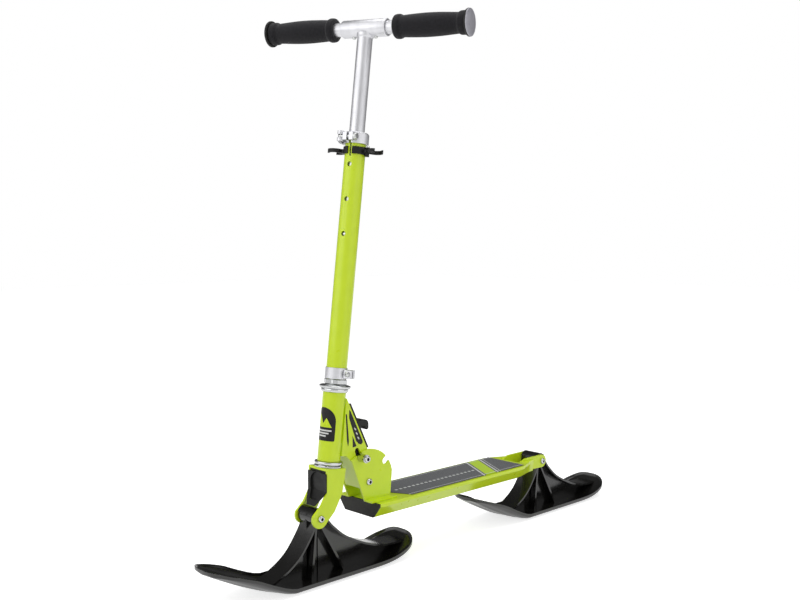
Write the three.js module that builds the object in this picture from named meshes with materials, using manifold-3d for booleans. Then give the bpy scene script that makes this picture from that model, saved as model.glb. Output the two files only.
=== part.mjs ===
// Folding snow scooter: a deck on two hinged skis, a raked head tube with a steered fork,
// and a telescopic handlebar column. Millimetres, Z up, front towards -Y, rider's left +X.
// Origin: middle of the footprint, on the snow.
import * as THREE from "three";
import { mergeVertices } from "three/addons/utils/BufferGeometryUtils.js";
import Module from "manifold-3d";

const wasm = await Module();
wasm.setup();

// Layout
const wheelbase = 572.7;
const pivotHeight = 101;
const rakeDegrees = 6.77;
const crownBehindPivot = 35.9;
const crownAbovePivot = 75.1;
const columnTurnDegrees = 20;

// Fits
const seatGap = 0.3;
const runningGap = 0.5;
const overrun = 5;

// Skis
const skiNose = 206.2;
const skiTail = 203.1;
const skiHalfWidth = 49.4;
const skiSkin = 3.2;
const skiRimHeight = 4.2;
const skiNoseRise = 56;
const skiNoseStart = 68;
const skiNoseRound = 132;
const skiTailRise = 31.4;
const skiTailStart = 92;
const skiTailRound = 56;
const skiEdgeLift = 5;
const skiSpoonLift = 10;
const skiFlatHalf = 34;
const skiGrooveDepth = 2.2;
const pylonHalfWidth = 19;
const pylonTop = 15;
const strapThickness = 3.4;
const webThickness = 4;
const ribThickness = 4;
const ribFrontFoot = 10;
const ribRearFoot = 57;
const bushWall = 3;
const pivotBossRadius = 12;
const frontStrapReach = 112;
const rearStrapShort = 13.1;
const noseShapeShare = 3.4;
const tailShapeShare = 2.9;
const noseRiseShare = 1.42;
const tailRiseShare = 3.2;
const spoonRunShare = 0.5;
const grooveRunShare = 0.33;
const grooveReachShare = 0.8;
const rimShare = 0.9;
const tipShare = 0.12;
const strapFloorShare = 0.75;
const acrossShares = [-1, -0.93, -0.87, -0.69, -0.45, -0.2, 0];
const stationShares = [
  -1, -0.99, -0.965, -0.92, -0.85, -0.76, -0.66, -0.56, -0.46, -0.33,
  0.46, 0.6, 0.72, 0.82, 0.9, 0.95, 0.985, 1,
];
const webFloorShares = [0, 0.15, 0.3, 0.45, 0.62, 0.72, 0.82, 0.91, 1];
const crestFrontDegrees = 150;
const crestRearDegrees = 40;
const frontStrapShares = [
  [0.036, 0.967],
  [0.107, 0.807],
  [0.223, 0.62],
  [0.339, 0.466],
  [0.482, 0.341],
  [0.652, 0.239],
  [0.821, 0.161],
  [1, 0.103],
];
const rearStrapShares = [
  [0.121, 0.907],
  [0.2, 0.758],
  [0.305, 0.603],
  [0.463, 0.45],
  [0.621, 0.334],
  [0.768, 0.265],
  [0.926, 0.247],
  [1, 0.247],
];

// Bolts
const boltRadius = 4;
const boltHeadRadius = 5.9;
const boltHeadHeight = 4.6;
const boltSocketAcross = 5;
const boltSocketDepth = 2.6;
const boltDomeShare = 0.35;
const nutAcross = 13;
const nutHeight = 7;

// Deck
const deckFrontBehindPivot = 101.9;
const deckAbovePivot = 8.6;
const deckLip = 5.6;
const deckDepth = 25.1;
const deckHalfWidth = 50.2;
const deckBottomHalf = 35;
const deckWall = 2.4;
const deckTaperStart = 97;
const deckEndAhead = 31;
const deckEndHalf = 27.4;
const deckEndBottomHalf = 25.4;
const deckEndRise = 2.4;
const taperShares = [0, 0.2, 0.4, 0.6, 0.8, 1];
const notchStartAhead = 74;
const capFace = 4;
const capPlug = 16;
const tapeThickness = 0.9;
const tapeHalfWidth = 45;
const tapeFront = 65.4;
const tapeCornerRun = 17.5;
const tapeCornerHalf = 12;
const tapeEndAhead = 84.3;

// Rear arms
const armInside = 19.8;
const armThickness = 4.2;
const armRadius = 12.5;
const armForward = 108;
const armHeadroom = 1.2;
const armRiseAhead = 52;

// Hinge on the deck
const hingeBehindCrown = 68.9;
const hingeBelowCrown = 33.8;
const hingeInside = 19.3;
const hingeSheet = 3;
const hingeRadius = 55;
const hingeShoulderRise = 1.2;
const hingeShoulderDegrees = 19;
const hingeArcRearDegrees = 12;
const hingeArcFrontDegrees = 104;
const hingeFootWidth = 17;
const hingeFootFront = 7.9;
const hingeFootRear = 49.6;
const latchRadius = 47.7;
const latchDegrees = 112.8;
const foldDegrees = 74.6;
const notchDepth = 9;
const barrelRadius = 5.5;
const barrelReach = 20;
const barrelEdge = 0.9;
const barrelSocketRadius = 2.6;
const barrelSocketDepth = 4;
const latchTravel = 12;
const latchPinRadius = 4.5;

// Neck
const neckHalfWidth = 18.8;
const neckSheet = 3;
const neckPivotRadius = 17;
const neckEyeFrontDegrees = -130;
const neckEyeRearDegrees = 20;
const neckWebThickness = 3;
const neckBackDrop = 12;
const neckBackReach = 28;
const neckBackDegrees = 88.4;
const neckClearance = 1.3;
const neckTopDrop = 1;
const neckTopReach = 4;
const neckWebReach = 2;
const neckBendReach = 15;
const neckBendDrop = 2;
const neckFootReach = 12;
const neckFootDrop = 2;
const leverThickness = 5;
const leverProud = 4.2;
const leverTopShare = 0.04;
const leverEndShare = 0.97;
const leverArmShare = 0.72;
const leverArmEdge = 2;
const leverHookShare = 0.5;
const leverHookReach = 25;
const leverHookDepth = 9;
const leverHookDrop = 13;
const leverHookRise = 1;
const leverHookRound = 5;
const leverHookUnderShare = 0.6;
const leverHookTipShare = 0.72;
const leverHookWidth = 22;

// Fork
const legInside = 19.8;
const legThickness = 4;
const crownFront = 21.7;
const crownRear = 15.5;
const crownThickness = 4;
const legEyeRadius = 16;
const legEyeFrontDegrees = 165;
const legEyeRearDegrees = 335;
const legWaistFront = 17.8;
const legWaistDrop = 37.5;
const legKneeFront = 27.8;
const legKneeDrop = 58.6;
const legHeelRear = 1.6;
const legHeelDrop = 69.8;
const legBackRear = 12.9;
const legBackDrop = 41.3;
const steererRadius = 14;
const steererBore = 11.4;
const steererAbove = 43;
const insertSheet = 2.4;
const insertDepth = 9;
const insertRim = 2.6;
const insertSetback = 0.8;
const insertRecess = 1.3;
const insertShoulderDrop = 34.5;
const insertTipHalf = 6;

// Headset and head tube, along the steering axis above the crown
const raceRadius = 23.5;
const raceTop = 4.2;
const raceEdge = 1.4;
const cupEdge = 1;
const cupWall = 1;
const coverEdge = 1;
const coverSlopeDrop = 3;
const cupBottom = 4.6;
const cupShoulder = 9.8;
const cupPlug = 9;
const headTubeRadius = 19;
const headTubeBore = 17;
const headTubeTop = 121.8;
const upperCupRadius = 22.5;
const upperCupHeight = 6.6;
const coverRadius = 26;
const coverHeight = 6.5;
const locknutHeight = 8.1;
const locknutAcross = 35;

// Column
const clampAbove = 0.6;
const clampHeight = 18.4;
const clampRadius = 18.4;
const spigotRadius = 16.6;
const clampEarReach = 31;
const clampEarThickness = 6;
const clampEarRoot = 1;
const clampEarEdge = 2.2;
const clampSlit = 3;
const clampBoltRadius = 2.5;
const clampBoltHead = 4.4;
const tubeRadius = 17;
const tubeBore = 14.3;
const tubeAbove = 373;
const topHoleBelow = 41;
const holeSpacing = 57;
const holeSteps = 3;
const stemBelowButton = 28;
const holeRadius = 4;
const slitLength = 28;
const slitWidth = 3;
const sleeveLength = 27;
const sleeveBore = 13;
const stemRadius = 12.7;
const stemBore = 10.5;
const stemFootHeight = 8;
const teeAbove = 185.7;
const teeRadius = 14.4;
const teeHalf = 41;
const teeLip = 1.2;
const buttonRadius = 3.6;
const buttonBody = 6;
const buttonEdge = 1.3;
const handleButtonPlace = 20;
const handleButtonRadius = 3.2;
const handleButtonProud = 2.8;

// Quick-release clamp and clip bracket
const quickBelow = 7;
const quickAbove = 12;
const quickWall = 3.6;
const quickLip = 2;
const quickEdge = 2;
const quickEarEdge = 3;
const quickNutEdge = 1;
const quickEarReach = 30;
const quickEarThickness = 7.5;
const quickSlit = 4;
const skewerRadius = 2.5;
const quickNutRadius = 5.6;
const quickNutHeight = 6;
const camRadius = 5.6;
const camPinRadius = 1.5;
const camStartDegrees = -135;
const camEndDegrees = 25;
const camSlotFrontDegrees = 40;
const camSlotRearDegrees = -164;
const leverRootShare = 0.6;
const leverNeckShare = 0.45;
const leverHeelShare = 0.75;
const leverBossReach = 5.2;
const leverNeckReach = 7;
const leverKneeReach = 18.8;
const leverHeelReach = 2.8;
const leverArmLength = 44;
const leverArmHeight = 17;
const leverArmThickness = 5;
const leverBendReach = 15.3;
const bandBelow = 12;
const bandHeight = 12;
const bandWall = 2.6;
const clipCentre = 36;
const clipBore = 11;
const clipWall = 3;
const clipHeight = 6.4;
const clipMouthDegrees = 84;
const clipTurnDegrees = -20;
const fullTurnDegrees = 360;
const clipNeckHalf = 5;
const clipBossRadius = 3.8;
const clipBossReach = 2.3;
const bandMouthHalf = 4.2;
const clipScrewRadius = 1.6;
const clipScrewHead = 3.8;
const clipScrewRise = 2.7;
const clipScrewEdge = 0.8;

// Handles
const handleRadius = 11.1;
const handleBore = 9.2;
const handleStart = 12;
const gripStart = 55.5;
const gripEnd = 181;
const barEnd = 189;
const gripProfileShares = [
  [0, 0.93],
  [0.02, 1.02],
  [0.06, 1.04],
  [0.085, 1],
  [0.11, 0.92],
  [0.22, 0.955],
  [0.42, 1],
  [0.62, 0.98],
  [0.82, 0.9],
  [0.885, 0.88],
  [0.91, 0.95],
  [0.93, 0.99],
  [1, 0.99],
];
const gripRadius = 19;
const capRadius = 22.3;
const capEdge = 1.4;
const capFlange = 5;
const capShoulderRadius = 15.6;
const capCrownRadius = 8;
const capCrownDrop = 1.2;
const capPlugLength = 14;

// How finely curves are cut
const smallSides = 12;
const roundSides = 20;
const fineSides = 28;
const hexSides = 6;
const coarseSteps = 10;
const eyeSteps = 8;

const upperCupTop = headTubeTop + upperCupHeight;
const coverTop = upperCupTop + coverHeight;
const locknutTop = coverTop + locknutHeight;
const clampBottom = locknutTop + clampAbove;
const clampTop = clampBottom + clampHeight;
const steererTop = clampTop + steererAbove;
const tubeTop = clampTop + tubeAbove;
const slitBottom = tubeTop - slitLength;
const sleeveBottom = tubeTop - sleeveLength;
const teeHeight = tubeTop + teeAbove;
const quickBottom = tubeTop - quickBelow;
const quickTop = tubeTop + quickAbove;
const bandTop = tubeTop - bandBelow;
const bandBottom = bandTop - bandHeight;
const holePlaces = Array.from({ length: holeSteps }, (_, i) => tubeTop - topHoleBelow - i * holeSpacing);
const lowestHole = holePlaces[holePlaces.length - 1];
const stemBottom = lowestHole - stemBelowButton;
const frontPivotY = -(wheelbase + skiTail - skiNose) / 2;
const rearPivotY = frontPivotY + wheelbase;
const crownY = frontPivotY + crownBehindPivot;
const crownZ = pivotHeight + crownAbovePivot;
const hingeY = crownY + hingeBehindCrown;
const hingeZ = crownZ - hingeBelowCrown;
const rake = THREE.MathUtils.degToRad(rakeDegrees);

// Materials
function material(colour, roughness, metalness) {
  return new THREE.MeshStandardMaterial({ color: colour, roughness, metalness });
}
const limePaint = material("#b6dc1c", 0.3, 0);
const satinSilver = material("#c9cacf", 0.35, 0.9);
const chrome = material("#d8d8da", 0.12, 1);
const zincSteel = material("#b9bbbd", 0.3, 0.9);
const skiPlastic = material("#141514", 0.32, 0);
const blackPlastic = material("#1b1b1c", 0.45, 0);
const greyPlastic = material("#35373b", 0.5, 0);
const gritTape = material("#55585a", 0.95, 0);
const foam = material("#2a2a2d", 0.95, 0);
const capGrey = material("#6b6e74", 0.35, 0.6);

// Solids
function solidOf(geometry) {
  const bare = new THREE.BufferGeometry();
  const source = geometry.index ? geometry.toNonIndexed() : geometry;
  bare.setAttribute("position", source.getAttribute("position").clone());
  const merged = mergeVertices(bare, 1e-4);
  const kept = [];
  const index = merged.index.array;
  for (let i = 0; i < index.length; i += 3) {
    const [a, b, c] = [index[i], index[i + 1], index[i + 2]];
    if (a !== b && b !== c && c !== a) kept.push(a, b, c);
  }
  const solid = new wasm.Manifold(
    new wasm.Mesh({
      numProp: 3,
      vertProperties: new Float32Array(merged.attributes.position.array),
      triVerts: new Uint32Array(kept),
    }),
  );
  return solid;
}

function geometryOf(solid) {
  const mesh = solid.getMesh();
  const geometry = new THREE.BufferGeometry();
  geometry.setAttribute("position", new THREE.BufferAttribute(new Float32Array(mesh.vertProperties), 3));
  geometry.setIndex(new THREE.BufferAttribute(new Uint32Array(mesh.triVerts), 1));
  return geometry;
}

function join(...geometries) {
  return geometryOf(geometries.map(solidOf).reduce((a, b) => a.add(b)));
}

function cut(body, ...tools) {
  return geometryOf(tools.map(solidOf).reduce((a, b) => a.subtract(b), solidOf(body)));
}

function keep(body, ...tools) {
  return geometryOf(tools.map(solidOf).reduce((a, b) => a.intersect(b), solidOf(body)));
}

function box(x0, x1, y0, y1, z0, z1) {
  const geometry = new THREE.BoxGeometry(x1 - x0, y1 - y0, z1 - z0);
  return geometry.translate((x0 + x1) / 2, (y0 + y1) / 2, (z0 + z1) / 2);
}

// A profile of [radius, height] points turned about Z; a profile off the axis closes on itself.
function turned(profile, sides) {
  const points = profile.map(([r, h]) => new THREE.Vector2(r, h));
  const onAxis = profile[0][0] === 0 && profile[profile.length - 1][0] === 0;
  if (!onAxis) points.push(points[0].clone());
  return new THREE.LatheGeometry(points, sides).rotateX(Math.PI / 2);
}

function rod(radius, z0, z1, sides) {
  return turned([[0, z0], [radius, z0], [radius, z1], [0, z1]], sides);
}

function ring(inner, outer, z0, z1, sides) {
  return turned([[inner, z0], [outer, z0], [outer, z1], [inner, z1]], sides);
}

// Turns a piece made about Z to lie along X, Y or any direction, with its start at a point.
function aimX(geometry, x, y, z) {
  return geometry.rotateY(Math.PI / 2).translate(x, y, z);
}

function aimNegativeX(geometry, x, y, z) {
  return geometry.rotateY(-Math.PI / 2).translate(x, y, z);
}

function aimY(geometry, x, y, z) {
  return geometry.rotateX(-Math.PI / 2).translate(x, y, z);
}

function aimNegativeY(geometry, x, y, z) {
  return geometry.rotateX(Math.PI / 2).translate(x, y, z);
}

function shapeOf(points) {
  return new THREE.Shape(points.map(([a, b]) => new THREE.Vector2(a, b)));
}

// A side-view outline of [y, z] points, filled from x0 to x1.
const sideView = new THREE.Matrix4().set(0, 0, 1, 0, 1, 0, 0, 0, 0, 1, 0, 0, 0, 0, 0, 1);
function sidePlate(points, x0, x1) {
  const geometry = new THREE.ExtrudeGeometry(shapeOf(points), { depth: x1 - x0, bevelEnabled: false });
  return geometry.applyMatrix4(sideView).translate(x0, 0, 0);
}

// A front-view outline of [x, z] points, filled from y0 to y1.
function frontPlate(points, y0, y1) {
  const geometry = new THREE.ExtrudeGeometry(shapeOf(points), { depth: y1 - y0, bevelEnabled: false });
  return geometry.rotateX(Math.PI / 2).translate(0, y1, 0);
}

// A plan outline of [x, y] points, filled from z0 to z1.
function planPlate(points, z0, z1) {
  const geometry = new THREE.ExtrudeGeometry(shapeOf(points), { depth: z1 - z0, bevelEnabled: false });
  return geometry.translate(0, 0, z0);
}

function arc(centreA, centreB, radius, fromDegrees, toDegrees, steps) {
  const points = [];
  for (let i = 0; i <= steps; i += 1) {
    const angle = THREE.MathUtils.degToRad(fromDegrees + ((toDegrees - fromDegrees) * i) / steps);
    points.push([centreA + radius * Math.cos(angle), centreB + radius * Math.sin(angle)]);
  }
  return points;
}

// A closed skin through sections, each two rows of points, lower and upper, of equal count.
function loft(sections) {
  const count = sections[0].lower.length;
  const position = [];
  const tri = [];
  const rings = sections.map(({ lower, upper }) => [...lower, ...[...upper].reverse()]);
  for (const ringPoints of rings) for (const p of ringPoints) position.push(...p);
  const size = 2 * count;
  for (let s = 0; s + 1 < rings.length; s += 1) {
    for (let k = 0; k < size; k += 1) {
      const a = s * size + k;
      const b = s * size + ((k + 1) % size);
      tri.push(a, a + size, b, b, a + size, b + size);
    }
  }
  const last = (rings.length - 1) * size;
  for (let k = 0; k + 1 < count; k += 1) {
    const up = size - 1 - k;
    tri.push(k, k + 1, up, k + 1, up - 1, up);
    tri.push(last + k, last + up, last + k + 1, last + k + 1, last + up, last + up - 1);
  }
  const geometry = new THREE.BufferGeometry();
  geometry.setAttribute("position", new THREE.Float32BufferAttribute(position, 3));
  geometry.setIndex(tri);
  return geometry.toNonIndexed();
}

function prism(across, z0, z1) {
  return turned([[0, z0], [across / Math.sqrt(3), z0], [across / Math.sqrt(3), z1], [0, z1]], hexSides);
}

const model = new THREE.Group();
const steering = new THREE.Group();
steering.position.set(0, crownY, crownZ);
steering.rotation.x = -rake;
model.add(steering);
const column = new THREE.Group();
column.rotation.z = THREE.MathUtils.degToRad(columnTurnDegrees);
steering.add(column);

function add(group, name, geometry, look) {
  const flat = geometry.index ? geometry.toNonIndexed() : geometry;
  flat.computeVertexNormals();
  const mesh = new THREE.Mesh(flat, look);
  mesh.name = name;
  group.add(mesh);
  return mesh;
}

// Domed bolt with a hexagon socket, made about Z: shank up to `length`, head below zero.
function bolt(radius, length, headRadius, headHeight) {
  const solid = turned(
    [
      [0, -headHeight],
      [headRadius * (1 - boltDomeShare), -headHeight],
      [headRadius, -headHeight * boltDomeShare],
      [headRadius, 0],
      [radius, 0],
      [radius, length],
      [0, length],
    ],
    smallSides,
  );
  const share = boltSocketAcross / boltHeadRadius;
  const depth = (boltSocketDepth / boltHeadHeight) * headHeight;
  const socket = prism(headRadius * share, -headHeight - overrun, -headHeight + depth);
  return cut(solid, socket);
}

function nut(across, height, bore) {
  const body = prism(across, 0, height);
  return cut(body, rod(bore, -overrun, height + overrun, smallSides));
}

// Skis: one moulding each, about its pivot, with the snow at -pivotHeight.
function skiHalfWidthAt(y) {
  const towardsNose = Math.min(Math.max((-skiNose + skiNoseRound - y) / skiNoseRound, 0), 1);
  const towardsTail = Math.min(Math.max((y - (skiTail - skiTailRound)) / skiTailRound, 0), 1);
  const nose = (1 - towardsNose ** noseShapeShare) ** (1 / noseShapeShare);
  const tail = (1 - towardsTail ** tailShapeShare) ** (1 / tailShapeShare);
  return skiHalfWidth * nose * tail;
}

function skiUnderside(y, across) {
  const towardsNose = Math.max((-skiNoseStart - y) / (skiNose - skiNoseStart), 0);
  const towardsTail = Math.max((y - skiTailStart) / (skiTail - skiTailStart), 0);
  const edge = Math.max(Math.abs(across) - skiFlatHalf / skiHalfWidth, 0) / (1 - skiFlatHalf / skiHalfWidth);
  const spoon = skiSpoonLift * Math.min(towardsNose / spoonRunShare, 1) * across * across;
  const rise = skiNoseRise * towardsNose ** noseRiseShare + skiTailRise * towardsTail ** tailRiseShare;
  return rise + skiEdgeLift * edge * edge + spoon;
}

function skiShell() {
  const columns = [...acrossShares, ...acrossShares.slice(0, -1).reverse().map((v) => -v)];
  const sections = stationShares.map((share) => {
    const y = share < 0 ? share * skiNose : share * skiTail;
    const half = Math.max(skiHalfWidthAt(y), skiHalfWidth * tipShare);
    const towardsNose = Math.max((-skiNoseStart - y) / (skiNose - skiNoseStart), 0);
    const lower = [];
    const upper = [];
    columns.forEach((across, i) => {
      const grooved = i % 2 === 0 && Math.abs(across) < grooveReachShare;
      const groove = grooved ? skiGrooveDepth * Math.min(towardsNose / grooveRunShare, 1) : 0;
      const rim = Math.abs(across) > rimShare ? skiRimHeight : 0;
      const base = skiUnderside(y, across * (half / skiHalfWidth)) - pivotHeight;
      lower.push([across * half, y, base + groove * (half / skiHalfWidth)]);
      upper.push([across * half, y, base + skiSkin + rim]);
    });
    return { lower, upper };
  });
  return loft(sections);
}

function strapLine(table, reach, sign) {
  return table.map(([along, height]) => {
    const y = sign * along * reach;
    const top = skiUnderside(y, 0) + skiSkin;
    return [y, Math.max(height * pivotHeight, top) - pivotHeight];
  });
}

function skiPylon() {
  const front = strapLine(frontStrapShares, frontStrapReach, -1).reverse();
  const rear = strapLine(rearStrapShares, skiTail - rearStrapShort, 1);
  const crest = arc(0, 0, pylonTop, crestFrontDegrees, crestRearDegrees, coarseSteps);
  const lines = [front, [...crest, ...rear]];
  const straps = lines.map((outer) => {
    const inner = offsetInside(outer, strapThickness).map(([y, z]) => {
      const lowest = skiUnderside(y, 0) + skiSkin * strapFloorShare - pivotHeight;
      return [y, Math.max(z, lowest)];
    });
    return sidePlate([...outer, ...inner.reverse()], -pylonHalfWidth, pylonHalfWidth);
  });
  const middle = lines.flatMap((outer) => offsetInside(outer, strapThickness / 2));
  const from = middle[0][0];
  const to = middle[middle.length - 1][0];
  const floor = webFloorShares.map((share) => {
    const y = THREE.MathUtils.lerp(from - overrun, to + overrun, share);
    return [y, skiUnderside(y, 0) + skiSkin / 2 - pivotHeight];
  });
  const half = webThickness / 2;
  const below = -pivotHeight - overrun;
  const under = sidePlate([[to, below], ...middle.slice().reverse(), [from, below]], -half, half);
  const over = pylonTop + overrun;
  const aboveLine = [...floor, [to + overrun, over], [from - overrun, over]];
  const above = sidePlate(aboveLine, -webThickness, webThickness);
  const web = keep(under, above);
  const boss = aimX(rod(pivotBossRadius, -pylonHalfWidth, pylonHalfWidth, roundSides), 0, 0, 0);
  const parts = [...straps, web, boss];
  for (const foot of [-ribFrontFoot, ribRearFoot]) {
    const length = Math.hypot(foot, pivotHeight - skiSkin);
    const ribHalf = pylonHalfWidth - ribThickness;
    const rib = box(-ribHalf, ribHalf, -ribThickness / 2, ribThickness / 2, -length, 0);
    parts.push(rib.rotateX(Math.atan2(foot, pivotHeight - skiSkin)));
  }
  return join(...parts);
}

// The outline moved towards the pivot side by a thickness, point by point.
function offsetInside(line, thickness) {
  return line.map((p, i) => {
    const a = line[Math.max(i - 1, 0)];
    const b = line[Math.min(i + 1, line.length - 1)];
    const length = Math.hypot(b[0] - a[0], b[1] - a[1]);
    return [p[0] + ((b[1] - a[1]) / length) * thickness, p[1] - ((b[0] - a[0]) / length) * thickness];
  });
}

const bushRadius = boltRadius + seatGap + bushWall;
function skiGeometry() {
  const body = join(skiShell(), skiPylon());
  const reach = pylonHalfWidth + overrun;
  return cut(body, aimX(rod(bushRadius + seatGap, -reach, reach, roundSides), 0, 0, 0));
}

function addSki(name, y) {
  const group = new THREE.Group();
  group.position.set(0, y, pivotHeight);
  model.add(group);
  add(group, name, skiGeometry(), skiPlastic);
  const reach = pylonHalfWidth + seatGap;
  const bush = aimX(ring(boltRadius + seatGap, bushRadius, -reach, reach, roundSides), 0, 0, 0);
  add(group, name + "_bush", bush, zincSteel);
}
addSki("front_ski", frontPivotY);
addSki("rear_ski", rearPivotY);

// Deck: a hollow board, drawn in at its rear end round the arms.
const deckTop = pivotHeight + deckAbovePivot;
const deckFrontY = frontPivotY + deckFrontBehindPivot;
const deckEndY = rearPivotY - deckEndAhead;
const deckTaperY = rearPivotY - deckTaperStart;
const boardFrontY = deckFrontY + capFace + seatGap;

function deckSection(y, inset) {
  const taper = Math.min(Math.max((y - deckTaperY) / (deckEndY - deckTaperY), 0), 1);
  const ease = THREE.MathUtils.smoothstep(taper, 0, 1);
  const half = THREE.MathUtils.lerp(deckHalfWidth, deckEndHalf, ease) - inset;
  const foot = THREE.MathUtils.lerp(deckBottomHalf, deckEndBottomHalf, ease) - inset;
  const bottom = deckTop - deckDepth + deckEndRise * ease + inset;
  const lip = deckTop - deckLip;
  const top = deckTop - inset;
  return {
    lower: [[-half, y, lip], [-foot, y, bottom], [foot, y, bottom], [half, y, lip]],
    upper: [[-half, y, top], [-foot, y, top], [foot, y, top], [half, y, top]],
  };
}

function deckBoard() {
  const stations = [boardFrontY, ...taperShares.map((v) => THREE.MathUtils.lerp(deckTaperY, deckEndY, v))];
  const outer = loft(stations.map((y) => deckSection(y, 0)));
  const hollowStations = [boardFrontY - overrun, ...stations.slice(1, -1), deckEndY + overrun];
  const hollow = loft(hollowStations.map((y) => deckSection(y, deckWall)));
  const slotHalf = armInside + armThickness + seatGap;
  const [low, high] = [deckTop - deckDepth - overrun, deckTop + overrun];
  const notch = box(-slotHalf, slotHalf, rearPivotY - notchStartAhead, deckEndY + overrun, low, high);
  return cut(outer, hollow, notch);
}
add(model, "deck_board", deckBoard(), limePaint);

function deckEndCap() {
  const face = loft([deckSection(deckFrontY, 0), deckSection(deckFrontY + capFace, 0)]);
  const plugInset = deckWall + seatGap;
  const plug = loft([
    deckSection(deckFrontY + capFace / 2, plugInset),
    deckSection(deckFrontY + capFace + capPlug, plugInset),
  ]);
  const pocketInset = plugInset + deckWall;
  const pocket = loft([
    deckSection(deckFrontY + capFace, pocketInset),
    deckSection(deckFrontY + capFace + capPlug + overrun, pocketInset),
  ]);
  return cut(join(face, plug), pocket);
}
add(model, "deck_end_cap", deckEndCap(), greyPlastic);

const tapeFrontY = deckFrontY + tapeFront;
const tapeOutline = [
  [-tapeCornerHalf, tapeFrontY],
  [tapeCornerHalf, tapeFrontY],
  [tapeHalfWidth, tapeFrontY + tapeCornerRun],
  [tapeHalfWidth, rearPivotY - tapeEndAhead],
  [-tapeHalfWidth, rearPivotY - tapeEndAhead],
  [-tapeHalfWidth, tapeFrontY + tapeCornerRun],
];
const tapeBottom = deckTop + seatGap;
add(model, "grip_tape", planPlate(tapeOutline, tapeBottom, tapeBottom + tapeThickness), gritTape);

// Rear arms: flat plates inside the deck's end, with round eyes for the rear ski's bolt.
function armOutline() {
  const top = pivotHeight + armRadius;
  const bottom = pivotHeight - armRadius;
  const inHollowTop = deckTop - deckWall - seatGap;
  const inHollowBottom = deckTop - deckDepth + deckEndRise + deckWall + seatGap;
  const start = rearPivotY - armForward;
  const rise = rearPivotY - notchStartAhead + armHeadroom;
  return [
    [start, inHollowBottom],
    [rearPivotY - deckEndAhead, inHollowBottom],
    ...arc(rearPivotY, pivotHeight, armRadius, -90, 90, coarseSteps),
    [rearPivotY - armRiseAhead, top],
    [rise, inHollowTop],
    [start, inHollowTop],
  ];
}

function armPlate() {
  const plate = sidePlate(armOutline(), armInside, armInside + armThickness);
  const bore = rod(boltRadius + seatGap, -overrun, armInside + armThickness + overrun, smallSides);
  return cut(plate, aimX(bore, 0, rearPivotY, pivotHeight));
}

// A copy on the rider's right of a piece made on the left.
function mirrored(geometry) {
  const flat = geometry.index ? geometry.toNonIndexed() : geometry.clone();
  const array = flat.getAttribute("position").array;
  for (let i = 0; i < array.length; i += 9) {
    for (let k = 0; k < 3; k += 1) {
      array[i + 3 * k] = -array[i + 3 * k];
    }
    for (let k = 0; k < 3; k += 1) {
      [array[i + 3 + k], array[i + 6 + k]] = [array[i + 6 + k], array[i + 3 + k]];
    }
  }
  return flat;
}
add(model, "rear_arm_left", armPlate(), limePaint);
add(model, "rear_arm_right", mirrored(armPlate()), limePaint);

// Bolt across the scooter: head on the left, nut on the right.
function addCrossBolt(group, name, outside, y, z) {
  const seat = outside + seatGap;
  const length = seat + seat + nutHeight + seatGap;
  const shank = bolt(boltRadius, length, boltHeadRadius, boltHeadHeight);
  add(group, name + "_bolt", aimNegativeX(shank, seat, y, z), chrome);
  const end = nut(nutAcross, nutHeight, boltRadius + seatGap);
  add(group, name + "_nut", aimNegativeX(end, -seat, y, z), zincSteel);
}
addCrossBolt(model, "rear", armInside + armThickness, rearPivotY, pivotHeight);

// Hinge plates: arc edge about the hinge bolt, a notch at each end of the fold, a foot on the deck.
function onHinge(radius, degrees) {
  const angle = THREE.MathUtils.degToRad(degrees);
  return [hingeY + radius * Math.cos(angle), hingeZ + radius * Math.sin(angle)];
}

function hingePlate() {
  const footBottom = deckTop + seatGap;
  const shoulder = onHinge(hingeRadius + hingeShoulderRise, latchDegrees + hingeShoulderDegrees);
  const outline = [
    [hingeY - hingeFootFront, footBottom],
    [hingeY + hingeFootRear, footBottom],
    ...arc(hingeY, hingeZ, hingeRadius, hingeArcRearDegrees, hingeArcFrontDegrees, coarseSteps),
    shoulder,
  ];
  const plate = sidePlate(outline, hingeInside, hingeInside + hingeSheet);
  const foot = box(
    hingeInside,
    hingeInside + hingeSheet + hingeFootWidth,
    hingeY - hingeFootFront,
    hingeY + hingeFootRear,
    footBottom,
    footBottom + hingeSheet,
  );
  const outside = hingeInside + hingeSheet + overrun;
  const tools = [aimX(rod(boltRadius + seatGap, 0, outside, smallSides), 0, hingeY, hingeZ)];
  for (const degrees of [latchDegrees, latchDegrees - foldDegrees]) {
    const [y, z] = onHinge(latchRadius, degrees);
    tools.push(aimX(rod(barrelRadius + seatGap, 0, outside, smallSides), 0, y, z));
    const mouthHalf = barrelRadius + seatGap;
    const mouth = box(0, outside, -mouthHalf, mouthHalf, 0, notchDepth + overrun);
    tools.push(mouth.rotateX(THREE.MathUtils.degToRad(degrees) - Math.PI / 2).translate(0, y, z));
  }
  return cut(join(plate, foot), ...tools);
}
add(model, "hinge_plate_left", hingePlate(), limePaint);
add(model, "hinge_plate_right", mirrored(hingePlate()), limePaint);
addCrossBolt(model, "hinge", hingeInside + hingeSheet, hingeY, hingeZ);

const [latchY, latchZ] = onHinge(latchRadius, latchDegrees);
function latchBarrel() {
  const outside = hingeInside + hingeSheet + barrelReach;
  const body = turned(
    [
      [0, hingeInside],
      [barrelRadius, hingeInside],
      [barrelRadius, outside - barrelEdge],
      [barrelRadius - barrelEdge, outside],
      [0, outside],
    ],
    roundSides,
  );
  const socket = rod(barrelSocketRadius, outside - barrelSocketDepth, outside + overrun, hexSides);
  return aimX(cut(body, socket), 0, latchY, latchZ);
}
add(model, "latch_barrel_left", latchBarrel(), chrome);
add(model, "latch_barrel_right", mirrored(latchBarrel()), chrome);

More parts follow.
